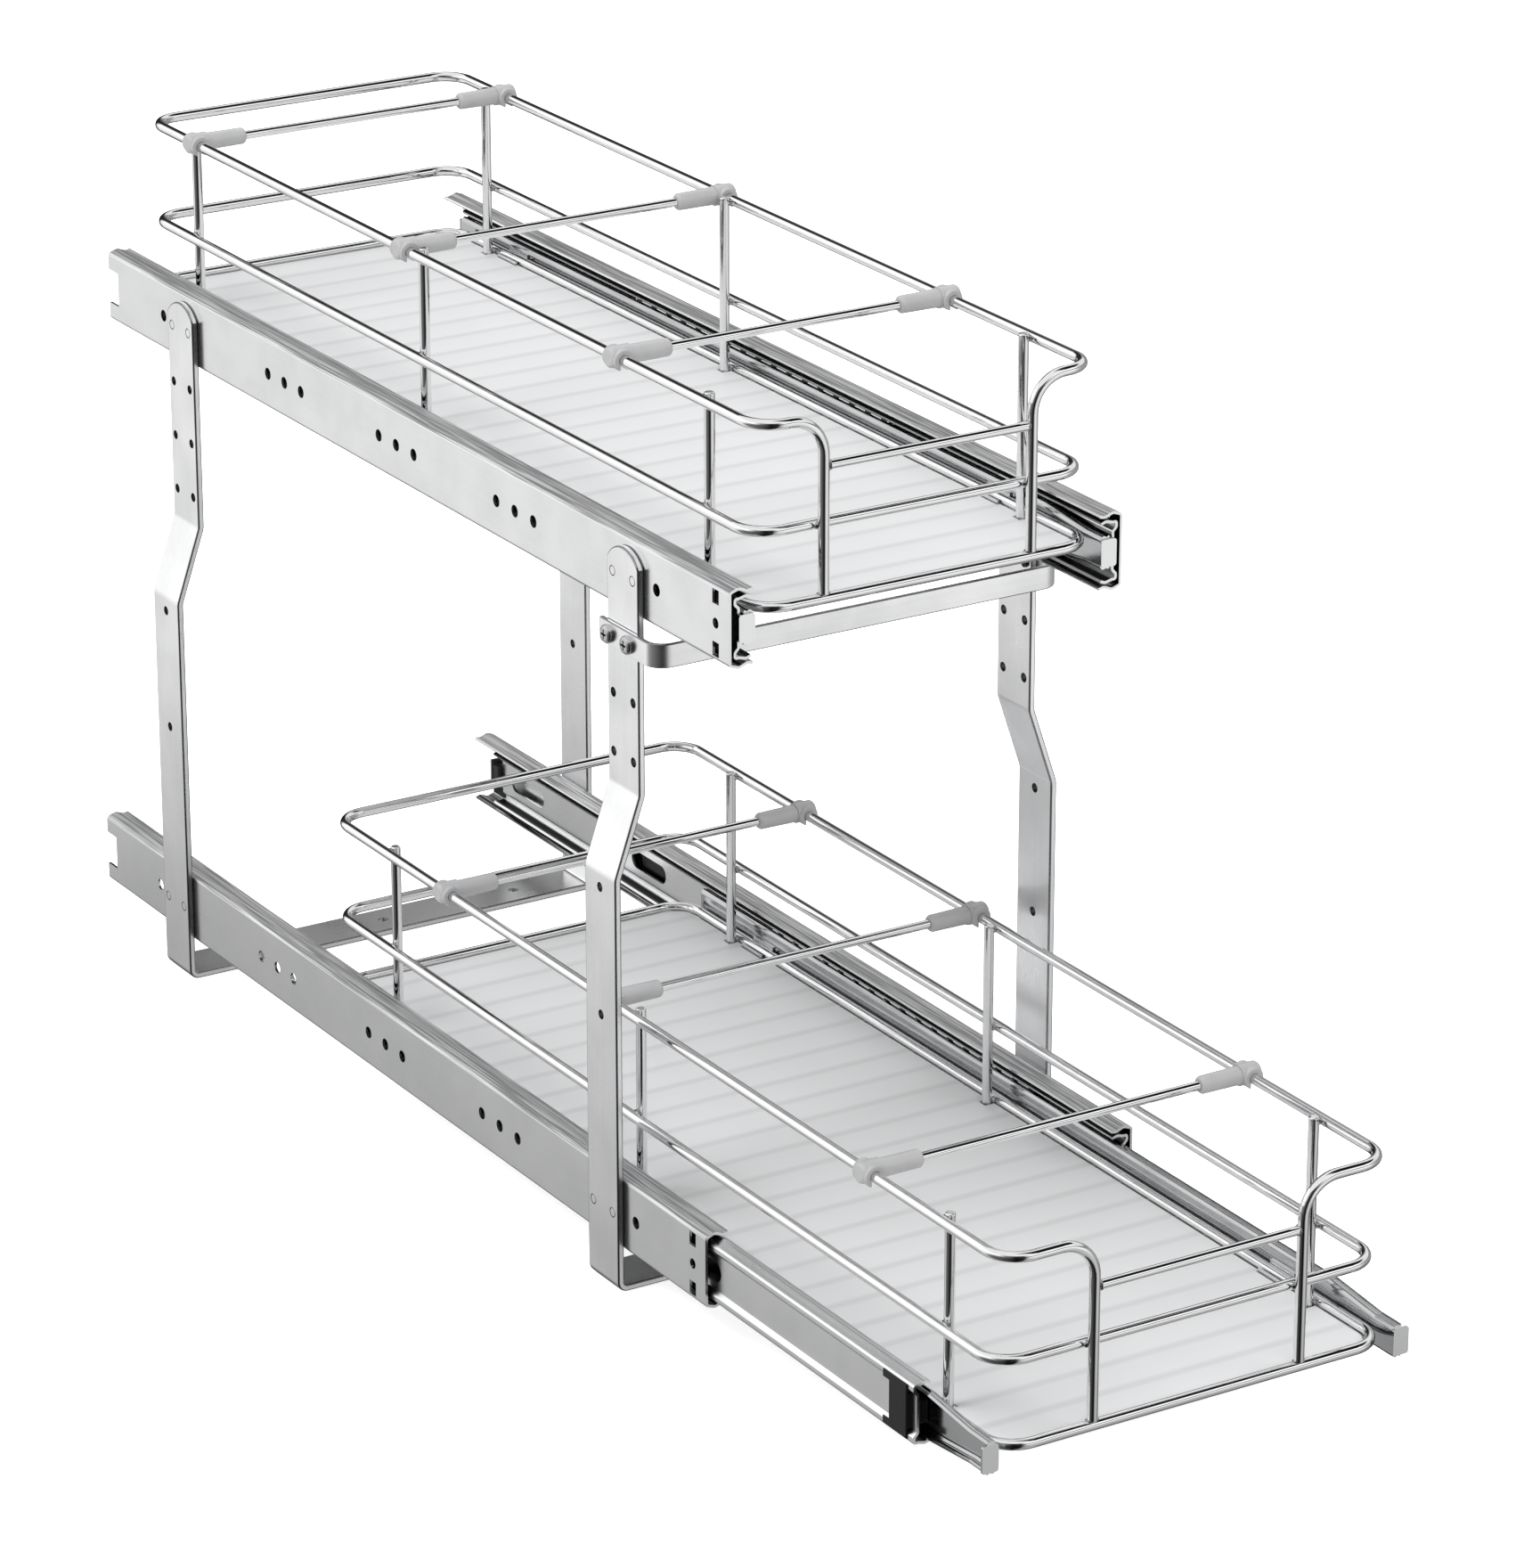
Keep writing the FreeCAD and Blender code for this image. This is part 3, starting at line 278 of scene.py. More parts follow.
# Painted shade in the holes: their walls are near black.
BORE_SHADE_TONES = ((0.05, 0.05, 0.05, 1), (0.12, 0.12, 0.12, 1))
BORE_ROUGHNESS = (0.3, 0.45)
SPECKS = (1, 1, 1)
SPECK_WIDTH = 0.0009
CLOUD_SIZE = 0.03
CLOUD_EDGES = (0.3, 0.7)
FLECK_SIZE = 0.0008
FLECK_SHARE = 0.5
BUMP_DEPTH = 0.0001


def new_group(name, inputs, outputs):
    """An empty shader node group with named sockets, and its two end nodes."""
    group = bpy.data.node_groups.new(name, "ShaderNodeTree")
    for label, value in inputs:
        socket = group.interface.new_socket(label, in_out="INPUT", socket_type="NodeSocketFloat")
        socket.default_value = value
    for label in outputs:
        group.interface.new_socket(label, in_out="OUTPUT", socket_type="NodeSocketFloat")
    return group, group.nodes.new("NodeGroupInput").outputs, group.nodes.new("NodeGroupOutput").inputs


# Plating is never quite even: broad soft clouds, and inside them a fine crystal fleck.
plating, given, put_out = new_group("plating_clouds", (("Cloud Size", CLOUD_SIZE),
                                                       ("Fleck Size", FLECK_SIZE)), ("Clouds", "Flecks"))
place = joined(plating, "TexCoord").outputs["Object"]
cloud_scale = sums(plating, "DIVIDE", 1.0, given["Cloud Size"])
fleck_scale = sums(plating, "DIVIDE", 1.0, given["Fleck Size"])
clouds = joined(plating, "TexNoise", ("Vector", place), ("Scale", cloud_scale), ("Detail", 3.0))
flecks = joined(plating, "TexNoise", ("Vector", place), ("Scale", fleck_scale), ("Detail", 1.0))
plating.links.new(stepped(plating, clouds.outputs["Fac"], *CLOUD_EDGES), put_out["Clouds"])
plating.links.new(flecks.outputs["Fac"], put_out["Flecks"])

# Rolled and drawn steel carries fine lines along the way it was pulled.
rolling, given, put_out = new_group("rolling_lines", (("Along X", 1.0), ("Along Y", 0.02), ("Along Z", 1.0),
                                                      ("Line Width", 0.0006)), ("Lines",))
place = joined(rolling, "TexCoord").outputs["Object"]
pull = joined(rolling, "CombineXYZ", (0, given["Along X"]), (1, given["Along Y"]),
              (2, given["Along Z"])).outputs[0]
pulled = joined(rolling, "VectorMath", (0, place), (1, pull), operation="MULTIPLY").outputs[0]
line_scale = sums(rolling, "DIVIDE", 1.0, given["Line Width"])
lines = joined(rolling, "TexNoise", ("Vector", pulled), ("Scale", line_scale), ("Detail", 2.0))
rolling.links.new(lines.outputs["Fac"], put_out["Lines"])


def clothe(tree, shader, tone, gloss, relief, bump):
    """Wires a shader's colour, its roughness, and the relief that stands up on its surface."""
    bumps = joined(tree, "Bump", ("Height", relief), ("Strength", bump), ("Distance", BUMP_DEPTH))
    tree.links.new(tone, shader.inputs["Base Color"])
    tree.links.new(gloss, shader.inputs["Roughness"])
    tree.links.new(bumps.outputs["Normal"], shader.inputs["Normal"])


def plated_metal(name, tones, roughness, along, line_width, bump, cloud_size=CLOUD_SIZE):
    """Plated steel: its tone and gloss follow the clouds, and its lines stand up a little."""
    material, tree, shader = new_material(name)
    shader.inputs["Metallic"].default_value = 1
    clouds = joined(tree, "Group", node_tree=plating)
    clouds.inputs["Cloud Size"].default_value = cloud_size
    rolled = joined(tree, "Group", node_tree=rolling)
    for axis, share in zip("XYZ", along):
        rolled.inputs["Along " + axis].default_value = share
    rolled.inputs["Line Width"].default_value = line_width
    lines = rolled.outputs["Lines"]
    grain = blended(tree, 0.5, clouds.outputs["Clouds"], lines)
    relief = sums(tree, "ADD", lines, sums(tree, "MULTIPLY", clouds.outputs["Flecks"], FLECK_SHARE))
    smooth, rough = roughness
    clothe(tree, shader, layered(tree, grain, *tones), spread(tree, grain, rough, smooth), relief, bump)
    return material


def paint_over(material, share, tone):
    """Lays a tone over the material's own colour, by a share."""
    tree = material.node_tree
    colour = tree.nodes["Principled BSDF"].inputs["Base Color"]
    tree.links.new(layered(tree, share, colour.links[0].from_socket, tone), colour)


def finish(piece, *materials):
    """Gives a piece these materials in place of its own."""
    piece.data.materials.clear()
    for material in materials:
        piece.data.materials.append(material)


def rounded_copy(node, name, radius, body, materials, on_rim=None, in_bore=None, steps=3):
    """A copy of a CAD node with its sharp edges rounded, or those on its rim alone. Its second
    material is for the rounded corners and its third for the walls of its holes; both carry painted shade."""
    bpy.ops.object.select_all(action="DESELECT")
    source = frame["nodes"][node]
    source.select_set(True)
    bpy.context.view_layer.objects.active = source
    bpy.ops.object.duplicate()
    piece = bpy.context.object
    piece.name = name
    del piece["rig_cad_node"]
    piece.parent = None
    finish(piece, *materials)
    bpy.ops.mesh.customdata_custom_splitnormals_clear()
    bpy.ops.object.mode_set(mode="EDIT")
    bpy.ops.mesh.select_all(action="SELECT")
    bpy.ops.mesh.remove_doubles(threshold=MERGE_DISTANCE)
    bpy.ops.mesh.dissolve_limited(angle_limit=FLAT_ANGLE)
    bpy.ops.mesh.select_mode(type="EDGE")
    bpy.ops.mesh.select_all(action="DESELECT")
    bpy.ops.mesh.edges_select_sharp(sharpness=SHARP_ANGLE)
    bpy.ops.object.mode_set(mode="OBJECT")
    corners = piece.data.vertices
    for edge in piece.data.edges:
        if on_rim and not all(on_rim(corners[end].co * 1000) for end in edge.vertices):
            edge.select = False
    bpy.ops.object.mode_set(mode="EDIT")
    bpy.ops.mesh.bevel(offset=radius / 1000, segments=steps, profile=0.5, clamp_overlap=not on_rim,
                       material=1 if len(materials) > 1 else -1)
    bpy.ops.object.mode_set(mode="OBJECT")
    for face in piece.data.polygons:
        if in_bore and in_bore(face.center * 1000, face.normal):
            face.material_index = 2
    bpy.ops.object.shade_smooth_by_angle(angle=SMOOTH_ANGLE)
    weighting = piece.modifiers.new("flat_faces", "WEIGHTED_NORMAL")
    weighting.keep_sharp = True
    bpy.ops.object.modifier_apply(modifier="flat_faces")
    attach(piece, body)
    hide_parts(node)
    return piece


strap_zinc = plated_metal("strap_zinc", STRAP_TONES, STRAP_ROUGHNESS, STRAP_LINES, STRAP_LINE_WIDTH,
                          STRAP_BUMP)
crossbar_zinc = plated_metal("crossbar_zinc", STRAP_TONES, STRAP_ROUGHNESS, CROSSBAR_LINES, STRAP_LINE_WIDTH,
                             STRAP_BUMP)
# The corner material is painted shade for the rounded edges.
corner_shade_zinc = plated_metal("corner_shade_zinc", CORNER_SHADE_TONES, CORNER_ROUGHNESS, SPECKS, SPECK_WIDTH, STRAP_BUMP)
# The bore material is painted shade for the walls of the holes.
bore_shade_steel = plated_metal("bore_shade_steel", BORE_SHADE_TONES, BORE_ROUGHNESS, SPECKS, SPECK_WIDTH, STRAP_BUMP)
for end, strap_y in STRAP_Y.items():
    def on_strap_rim(point):
        """Along both long edges of the bar, or round the domed top of a post."""
        across = abs(point.y - strap_y)
        from_dome = math.hypot(across, point.z - STRAP_DOME_Z)
        return abs(across - STRAP_WIDTH / 2) < RIM_GAP or abs(from_dome - STRAP_DOME_RADIUS) < RIM_GAP

    def in_strap_hole(point, normal):
        """The wall of a hole: it faces neither out of the bar's broad faces nor off its rim."""
        across = abs(point.y - strap_y)
        inside_rim = STRAP_EDGE_RADIUS + RIM_GAP
        if abs(normal.x) >= HOLE_WALL_FACING or abs(point.x) <= STRAP_POST_X:
            return False
        if across >= STRAP_WIDTH / 2 - inside_rim:
            return False
        in_dome = math.hypot(across, point.z - STRAP_DOME_Z) < STRAP_DOME_RADIUS - inside_rim
        below_dome = STRAP_FOOT_Z < point.z < STRAP_DOME_Z and abs(normal.z) < LEVEL_FACING
        return in_dome or below_dome

    rounded_copy(end + "_frame_strap", end + "_frame_bar", STRAP_EDGE_RADIUS, "frame",
                 (strap_zinc, corner_shade_zinc, bore_shade_steel), on_strap_rim, in_strap_hole)


def on_bar_rim(point):
    """Along the top and bottom edges of the crossbar, not round its screw holes."""
    low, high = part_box("front_crossbar")
    return min(point.z - low[2] * 1000, high[2] * 1000 - point.z) < RIM_GAP


rounded_copy("front_crossbar", "front_cross_bar", CROSSBAR_EDGE_RADIUS, "frame",
             (crossbar_zinc, corner_shade_zinc), on_bar_rim)


# The rivets are set flush through the post and the rail behind it, and their rounded edges show
# as rings of painted shade. The pan-head screws that hold the crossbar are bright zinc with a cross recess.
RIVET_EDGE_RADIUS = 0.45
SCREW_TONES = ((0.45, 0.45, 0.46, 1), (0.58, 0.58, 0.59, 1))
SCREW_ROUGHNESS = (0.16, 0.28)
SCREW_SPECK_WIDTH = 0.0006
SCREW_BUMP = 0.15
SCREW_CLOUD_SIZE = 0.002
SCREW_MIDDLE = (0, -0.2, 0.289)
SCREW_SPREAD = 0.008
SCREW_CROWN_X = 0.1026
RECESS_REACH = 0.0023
RECESS_START = 0.0003
RECESS_SHADE_TONE = (0.012, 0.012, 0.012, 1)

rounded_copy("frame_rivets", "set_rivets", RIVET_EDGE_RADIUS, "frame",
             (strap_zinc, corner_shade_zinc))

# The cross recess is painted near black, as painted shade.
screw_zinc = plated_metal("screw_zinc", SCREW_TONES, SCREW_ROUGHNESS, SPECKS, SCREW_SPECK_WIDTH, SCREW_BUMP,
                          SCREW_CLOUD_SIZE)
tree = screw_zinc.node_tree
axes = joined(tree, "SeparateXYZ", (0, apart_from(tree, SCREW_MIDDLE))).outputs
aside = sums(tree, "SUBTRACT", axes["Y"], SCREW_SPREAD)
from_axis = sums(tree, "ADD", sums(tree, "POWER", aside, 2), sums(tree, "POWER", axes["Z"], 2))
from_axis = sums(tree, "SQRT", from_axis)
deep = sums(tree, "LESS_THAN", axes["X"], SCREW_CROWN_X - RECESS_START)
shaded_recess = sums(tree, "MULTIPLY", deep, sums(tree, "LESS_THAN", from_axis, RECESS_REACH))
paint_over(screw_zinc, shaded_recess, RECESS_SHADE_TONE)
finish(frame["nodes"]["crossbar_screws"], screw_zinc)


# The slides: three roll-formed members of bright zinc-plated strip, which mirror in long
# bands because the rolls pull fine lines along them.
TIERS = ("upper", "lower")
SIDES = ("left", "right")
RAIL_TONES = ((0.78, 0.785, 0.79, 1), (0.86, 0.865, 0.87, 1))
RAIL_ROUGHNESS = (0.2, 0.3)
RAIL_LINES = (1, 0.01, 1)
RAIL_LINE_WIDTH = 0.0005
RAIL_BUMP = 0.1
FLANGE_TONES = ((0.38, 0.385, 0.39, 1), (0.84, 0.84, 0.845, 1))
FLANGE_ROUGHNESS = 0.5
LINE_EDGES = (0.4, 0.6)
DRAWER_MEMBER_TONES = ((0.42, 0.425, 0.43, 1), (0.5, 0.505, 0.51, 1))
DRAWER_MEMBER_ROUGHNESS = (0.1, 0.18)
CUT_END_TONE = (0.82, 0.825, 0.83, 1)
SLIDE_Z = {"upper": 0.316, "lower": 0.0361}
SLIDE_WEB_X = {"upper": 0.095, "lower": 0.107}
MID_RACE_DEPTH = 0.0053
BETWEEN_TIERS = 0.176
# Painted shade inside the slides: near black in the races and the mouth, with its own gloss.
RACE_SHADE_TONE = (0.012, 0.012, 0.012, 1)
RACE_SHADE_ROUGHNESS = 0.4
FACING_IN = 0.35
FACING_DRAWER = 0.9
FACING_END = 0.5
WEB_HALF_HEIGHT = 0.0155
WEB_UNSHADED_HALF_HEIGHT = 0.0095
DARK_MOUTH_Y = -0.252

rail_zinc = plated_metal("rail_zinc", RAIL_TONES, RAIL_ROUGHNESS, RAIL_LINES, RAIL_LINE_WIDTH, RAIL_BUMP)

# The races inside each slide carry painted shade: the faces that look towards the slide's
# mid-height, and on the outer member also the edges of its web, and all of it in the mouth.
race_shading, given, put_out = new_group("painted_race_shade", (("Web Too", 1.0), ("Least Depth", 0.0)),
                                    ("Race Shade", "Low Race", "Flange", "From Middle", "End"))
coordinates = joined(race_shading, "TexCoord").outputs
spot = joined(race_shading, "SeparateXYZ", (0, coordinates["Object"])).outputs
facing = joined(race_shading, "SeparateXYZ", (0, coordinates["Normal"])).outputs
upper_tier = sums(race_shading, "GREATER_THAN", spot["Z"], BETWEEN_TIERS)
slide_z = sums(race_shading, "MULTIPLY", upper_tier, SLIDE_Z["upper"] - SLIDE_Z["lower"])
slide_z = sums(race_shading, "ADD", slide_z, SLIDE_Z["lower"])
web_x = sums(race_shading, "MULTIPLY", upper_tier, SLIDE_WEB_X["upper"] - SLIDE_WEB_X["lower"])
depth = sums(race_shading, "SUBTRACT", SLIDE_WEB_X["lower"], sums(race_shading, "ABSOLUTE", spot["X"]))
depth = sums(race_shading, "ADD", depth, web_x)
off_middle = sums(race_shading, "SUBTRACT", spot["Z"], slide_z)
from_middle = sums(race_shading, "ABSOLUTE", off_middle)
to_middle = sums(race_shading, "MULTIPLY", sums(race_shading, "SIGN", off_middle), facing["Z"])
to_drawer = sums(race_shading, "MULTIPLY", sums(race_shading, "SIGN", spot["X"]), facing["X"])
in_race = sums(race_shading, "LESS_THAN", to_middle, -FACING_IN)
in_race = sums(race_shading, "MULTIPLY", in_race, sums(race_shading, "GREATER_THAN", depth, given["Least Depth"]))
on_web = sums(race_shading, "LESS_THAN", from_middle, WEB_HALF_HEIGHT)
on_web = sums(race_shading, "MULTIPLY", on_web, sums(race_shading, "LESS_THAN", to_drawer, -FACING_DRAWER))
# Painted shade on the web outside its middle band, and all over it in the front mouth.
shaded_web_part = sums(race_shading, "MAXIMUM", sums(race_shading, "GREATER_THAN", from_middle, WEB_UNSHADED_HALF_HEIGHT),
             sums(race_shading, "LESS_THAN", spot["Y"], DARK_MOUTH_Y))
on_web = sums(race_shading, "MULTIPLY", on_web, shaded_web_part)
inward = sums(race_shading, "MAXIMUM", in_race, sums(race_shading, "MULTIPLY", on_web, given["Web Too"]))
along_slide = sums(race_shading, "LESS_THAN", sums(race_shading, "ABSOLUTE", facing["Y"]), FACING_END)
low_race = sums(race_shading, "MULTIPLY", in_race, sums(race_shading, "LESS_THAN", off_middle, 0.0))
race_shading.links.new(sums(race_shading, "MULTIPLY", inward, along_slide), put_out["Race Shade"])
race_shading.links.new(low_race, put_out["Low Race"])
race_shading.links.new(sums(race_shading, "GREATER_THAN", to_middle, FACING_IN), put_out["Flange"])
race_shading.links.new(from_middle, put_out["From Middle"])
race_shading.links.new(sums(race_shading, "SUBTRACT", 1.0, along_slide), put_out["End"])


def race_shaded_zinc(name, web_too, least_depth):
    """Rail zinc with painted shade in its races. On the outer member, the flanges' faces turned away
    from the slide's middle are darker in streaks along the rolls and rougher, and the painted shade in its
    lower race is broken by lighter streaks."""
    material = rail_zinc.copy()
    material.name = name
    tree = material.node_tree
    roughness = tree.nodes["Principled BSDF"].inputs["Roughness"]
    races = joined(tree, "Group", node_tree=race_shading)
    races.inputs["Web Too"].default_value = web_too
    races.inputs["Least Depth"].default_value = least_depth
    rolled = next(node for node in tree.nodes if node.type == "GROUP" and node.node_tree == rolling)
    lines = stepped(tree, rolled.outputs["Lines"], *LINE_EDGES)
    dull = sums(tree, "MULTIPLY", races.outputs["Flange"], web_too)
    # Lighter streaks break the painted shade in the outer member's lower race.
    streak_gaps = sums(tree, "MULTIPLY", sums(tree, "MULTIPLY", races.outputs["Low Race"], lines), web_too)
    shade_share = sums(tree, "SUBTRACT", races.outputs["Race Shade"], streak_gaps)
    paint_over(material, dull, layered(tree, lines, *FLANGE_TONES))
    paint_over(material, shade_share, RACE_SHADE_TONE)
    gloss = blended(tree, dull, roughness.links[0].from_socket, FLANGE_ROUGHNESS)
    tree.links.new(blended(tree, shade_share, gloss, RACE_SHADE_ROUGHNESS), roughness)
    return material


# The drawer members are of a darker zinc, with bright cut ends and a bright tab in front.
drawer_member_zinc = plated_metal("drawer_member_zinc", DRAWER_MEMBER_TONES, DRAWER_MEMBER_ROUGHNESS,
                                  RAIL_LINES, RAIL_LINE_WIDTH, RAIL_BUMP)
cut_end = joined(drawer_member_zinc.node_tree, "Group", node_tree=race_shading).outputs["End"]
paint_over(drawer_member_zinc, cut_end, CUT_END_TONE)

member_zinc = {"outer": race_shaded_zinc("outer_member_zinc", 1.0, 0.0),
               "mid": race_shaded_zinc("middle_member_zinc", 0.0, MID_RACE_DEPTH), "inner": drawer_member_zinc}
for tier in TIERS:
    for side in SIDES:
        for member, material in member_zinc.items():
            finish(frame["nodes"][f"{tier}_{side}_{member}_rail"], material)
    finish(frame["nodes"][f"{tier}_rail_clips"], rail_zinc)


# The ball cages: thin steel strips, which run between the members and hold a row of
# bearing balls above and below. They are near black as painted shade inside the slide, and between the ball
# pockets their flanges carry painted highlights.
# Painted shade: the cages are near black, for the dark inside of the slide.
CAGE_SHADE_TONES = ((0.012, 0.012, 0.012, 1), (0.03, 0.03, 0.03, 1))
CAGE_ROUGHNESS = (0.3, 0.45)
CAGE_LINE_WIDTH = 0.0006
CAGE_BUMP = 0.1
# Painted highlight: bright dashes on the cage flanges between the ball pockets.
DASH_HIGHLIGHT_TONE = (1, 1, 1, 1)
HIGHLIGHT_FROM_MIDDLE = 0.0095
POCKET_PITCH = 0.013
POCKET_START = 0.0055
POCKET_SHARE = 0.19


def along_slides(tree):
    """Place along the slides, in metres."""
    return joined(tree, "SeparateXYZ", (0, joined(tree, "TexCoord").outputs["Object"])).outputs["Y"]


cage_shade_steel = plated_metal("cage_shade_steel", CAGE_SHADE_TONES, CAGE_ROUGHNESS, RAIL_LINES, CAGE_LINE_WIDTH, CAGE_BUMP)
tree = cage_shade_steel.node_tree
from_middle = joined(tree, "Group", node_tree=race_shading).outputs["From Middle"]
turns = sums(tree, "DIVIDE", sums(tree, "SUBTRACT", along_slides(tree), POCKET_START), POCKET_PITCH)
between = sums(tree, "GREATER_THAN", sums(tree, "PINGPONG", turns, 0.5), POCKET_SHARE)
on_flange = sums(tree, "GREATER_THAN", from_middle, HIGHLIGHT_FROM_MIDDLE)
paint_over(cage_shade_steel, sums(tree, "MULTIPLY", between, on_flange), DASH_HIGHLIGHT_TONE)
for tier in TIERS:
    for side in SIDES:
        for race in ("outer", "inner"):
            finish(frame["nodes"][f"{tier}_{side}_{race}_ball_cage"], cage_shade_steel)


# The wire drawers: drawn steel wire, bent, butt and spot welded, then chrome plated all over.
CHROME_TONES = ((0.76, 0.76, 0.765, 1), (0.84, 0.84, 0.845, 1))
CHROME_ROUGHNESS = (0.03, 0.07)
CHROME_SPECK_WIDTH = 0.004
CHROME_BUMP = 0.02
CHROME_CLOUD_SIZE = 0.015
WELD_TONES = ((0.3, 0.3, 0.305, 1), (0.5, 0.5, 0.505, 1))
WELD_ROUGHNESS = (0.14, 0.3)
WELD_SPECK_WIDTH = 0.0006
WELD_BUMP = 0.2
WELD_CLOUD_SIZE = 0.003
WIRE = 4.7
LEG_X = 50.0
POST_YS = (221.7, 5.8, -232.7)
PULLED_OUT = {"upper": 0.0, "lower": 200.8}
SEAM_BEAD = (1.3, 3.3, 1.7)
TOP_BEAD = (1.3, 2.0, 1.7)
FRONT_BEAD = (3.3, 1.3, 1.7)
FOOT_BEAD = (3.0, 2.1, 0.9)
ROD_BEAD = (0.9, 2.4, 2.4)
BEAD_SEGMENTS = 12
BEAD_RINGS = 8
BEAD_ROUGHNESS = 0.00025

chrome = plated_metal("wire_chrome", CHROME_TONES, CHROME_ROUGHNESS, SPECKS, CHROME_SPECK_WIDTH, CHROME_BUMP,
                      CHROME_CLOUD_SIZE)
for tier in TIERS:
    for wire in ("top_rail_wire", "middle_ring", "bottom_ring", "side_posts", "front_cross_wire",
                 "floor_wires", "divider_rod_1", "divider_rod_2", "divider_rod_3"):
        finish(frame["nodes"][f"{tier}_{wire}"], chrome)


def box_of(node):
    """Low and high corner of a node's box, in millimetres."""
    return [Vector(corner) * 1000 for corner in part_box(node)]


def middle_of(node):
    """Middle of a node's box, in millimetres."""
    low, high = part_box(node)
    return (Vector(low) + Vector(high)) / 2 * 1000


# Resistance welds leave a small swelling in each corner where two wires cross.
weld_steel = plated_metal("weld_steel", WELD_TONES, WELD_ROUGHNESS, SPECKS, WELD_SPECK_WIDTH, WELD_BUMP,
                          WELD_CLOUD_SIZE)
for tier in TIERS:
    seam_x = box_of(f"{tier}_middle_ring")[1].x - WIRE / 2 - WIRE / 2
    rod_x = LEG_X - WIRE / 2
    front = middle_of(f"{tier}_front_cross_wire")
    middle_z = middle_of(f"{tier}_middle_ring").z
    bottom_z = middle_of(f"{tier}_bottom_ring").z
    top_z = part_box(f"{tier}_top_rail_wire")[1][2] * 1000 - WIRE / 2
    beads = []
    for hand in (-1, 1):
        for y in POST_YS:
            beads.append(((hand * seam_x, y - PULLED_OUT[tier], top_z), TOP_BEAD))
            beads.append(((hand * seam_x, y - PULLED_OUT[tier], middle_z), SEAM_BEAD))
            beads.append(((hand * seam_x, y - PULLED_OUT[tier], bottom_z), SEAM_BEAD))
        beads.append(((hand * LEG_X, front.y + WIRE / 2, middle_z), FRONT_BEAD))
        beads.append(((hand * LEG_X, front.y, bottom_z + WIRE / 2), FOOT_BEAD))
        beads.append(((hand * rod_x, front.y, front.z), ROD_BEAD))
    bpy.ops.object.select_all(action="DESELECT")
    made = []
    for spot, reach in beads:
        bpy.ops.mesh.primitive_uv_sphere_add(segments=BEAD_SEGMENTS, ring_count=BEAD_RINGS, radius=1,
                                             location=Vector(spot) / 1000, scale=Vector(reach) / 1000)
        made.append(bpy.context.object)
    for bead in made:
        bead.select_set(True)
    bpy.ops.object.join()
    welds = bpy.context.object
    welds.name = tier + "_wire_welds"
    bpy.ops.object.transform_apply(location=True, rotation=True, scale=True)
    bpy.ops.object.mode_set(mode="EDIT")
    bpy.ops.mesh.select_all(action="SELECT")
    bpy.ops.transform.vertex_random(offset=BEAD_ROUGHNESS, uniform=0.3, normal=0.6, seed=5)
    bpy.ops.object.mode_set(mode="OBJECT")
    bpy.ops.object.shade_smooth()
    finish(welds, weld_steel)
    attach(welds, tier + "_drawer")


# The moulded parts: grey nylon divider clips, glossy black slide latches and black rubber stops.
GRAIN_SIZE = 0.0004
FLOW_SIZE = 0.008
CLIP_TONES = ((0.34, 0.34, 0.345, 1), (0.42, 0.42, 0.425, 1))
CLIP_ROUGHNESS = (0.32, 0.42)
CLIP_BUMP = 0.25
LATCH_TONES = ((0.004, 0.004, 0.004, 1), (0.009, 0.009, 0.009, 1))
LATCH_ROUGHNESS = (0.12, 0.2)
LATCH_BUMP = 0.05
LATCH_SHINE = 0.2
STOP_TONES = ((0.012, 0.012, 0.012, 1), (0.025, 0.025, 0.025, 1))
STOP_ROUGHNESS = (0.5, 0.7)
STOP_BUMP = 0.3

moulding, given, put_out = new_group("moulded_grain", (("Grain Size", GRAIN_SIZE), ("Flow Size", FLOW_SIZE)),
                                     ("Grain", "Flow"))
place = joined(moulding, "TexCoord").outputs["Object"]
for mark in ("Grain", "Flow"):
    scale = sums(moulding, "DIVIDE", 1.0, given[mark + " Size"])
    noise = joined(moulding, "TexNoise", ("Vector", place), ("Scale", scale))
    moulding.links.new(noise.outputs["Fac"], put_out[mark])


def moulded(name, tones, roughness, bump, shine=0.5):
    """Moulded plastic or rubber: a fine grain from the tool, and slow flow marks in its gloss."""
    material, tree, shader = new_material(name)
    shader.inputs["Specular IOR Level"].default_value = shine
    marks = joined(tree, "Group", node_tree=moulding).outputs
    clothe(tree, shader, layered(tree, marks["Flow"], *tones), spread(tree, marks["Flow"], *roughness),
           marks["Grain"], bump)
    return material


clip_nylon = moulded("clip_nylon", CLIP_TONES, CLIP_ROUGHNESS, CLIP_BUMP)
latch_plastic = moulded("latch_plastic", LATCH_TONES, LATCH_ROUGHNESS, LATCH_BUMP, LATCH_SHINE)
stop_rubber = moulded("stop_rubber", STOP_TONES, STOP_ROUGHNESS, STOP_BUMP)
finish(frame["nodes"]["rail_bumpers"], stop_rubber)
for tier in TIERS:
    for side in SIDES:
        finish(frame["nodes"][f"{tier}_{side}_mid_latch"], latch_plastic)
    for number in (1, 2, 3):
        finish(frame["nodes"][f"{tier}_divider_clips_{number}"], clip_nylon)

# A black guide in the mouth of each middle member steadies the drawer member. It has rounded
# corners and a shallow hollow in its front, and is short, to clear the inner ball cage behind.
GUIDE_SIZE = (4.5, 5.0, 10.0)
GUIDE_WEB_DISTANCE = 5.35
GUIDE_SETBACK = 0.6
GUIDE_ROUNDING = 0.7
GUIDE_ROUNDING_STEPS = 2
GUIDE_HOLLOW_RIM = 0.9
GUIDE_HOLLOW_DEPTH = 1.2
GUIDE_HOLLOW_SLOPE = 0.2
FACING_FRONT = 0.9

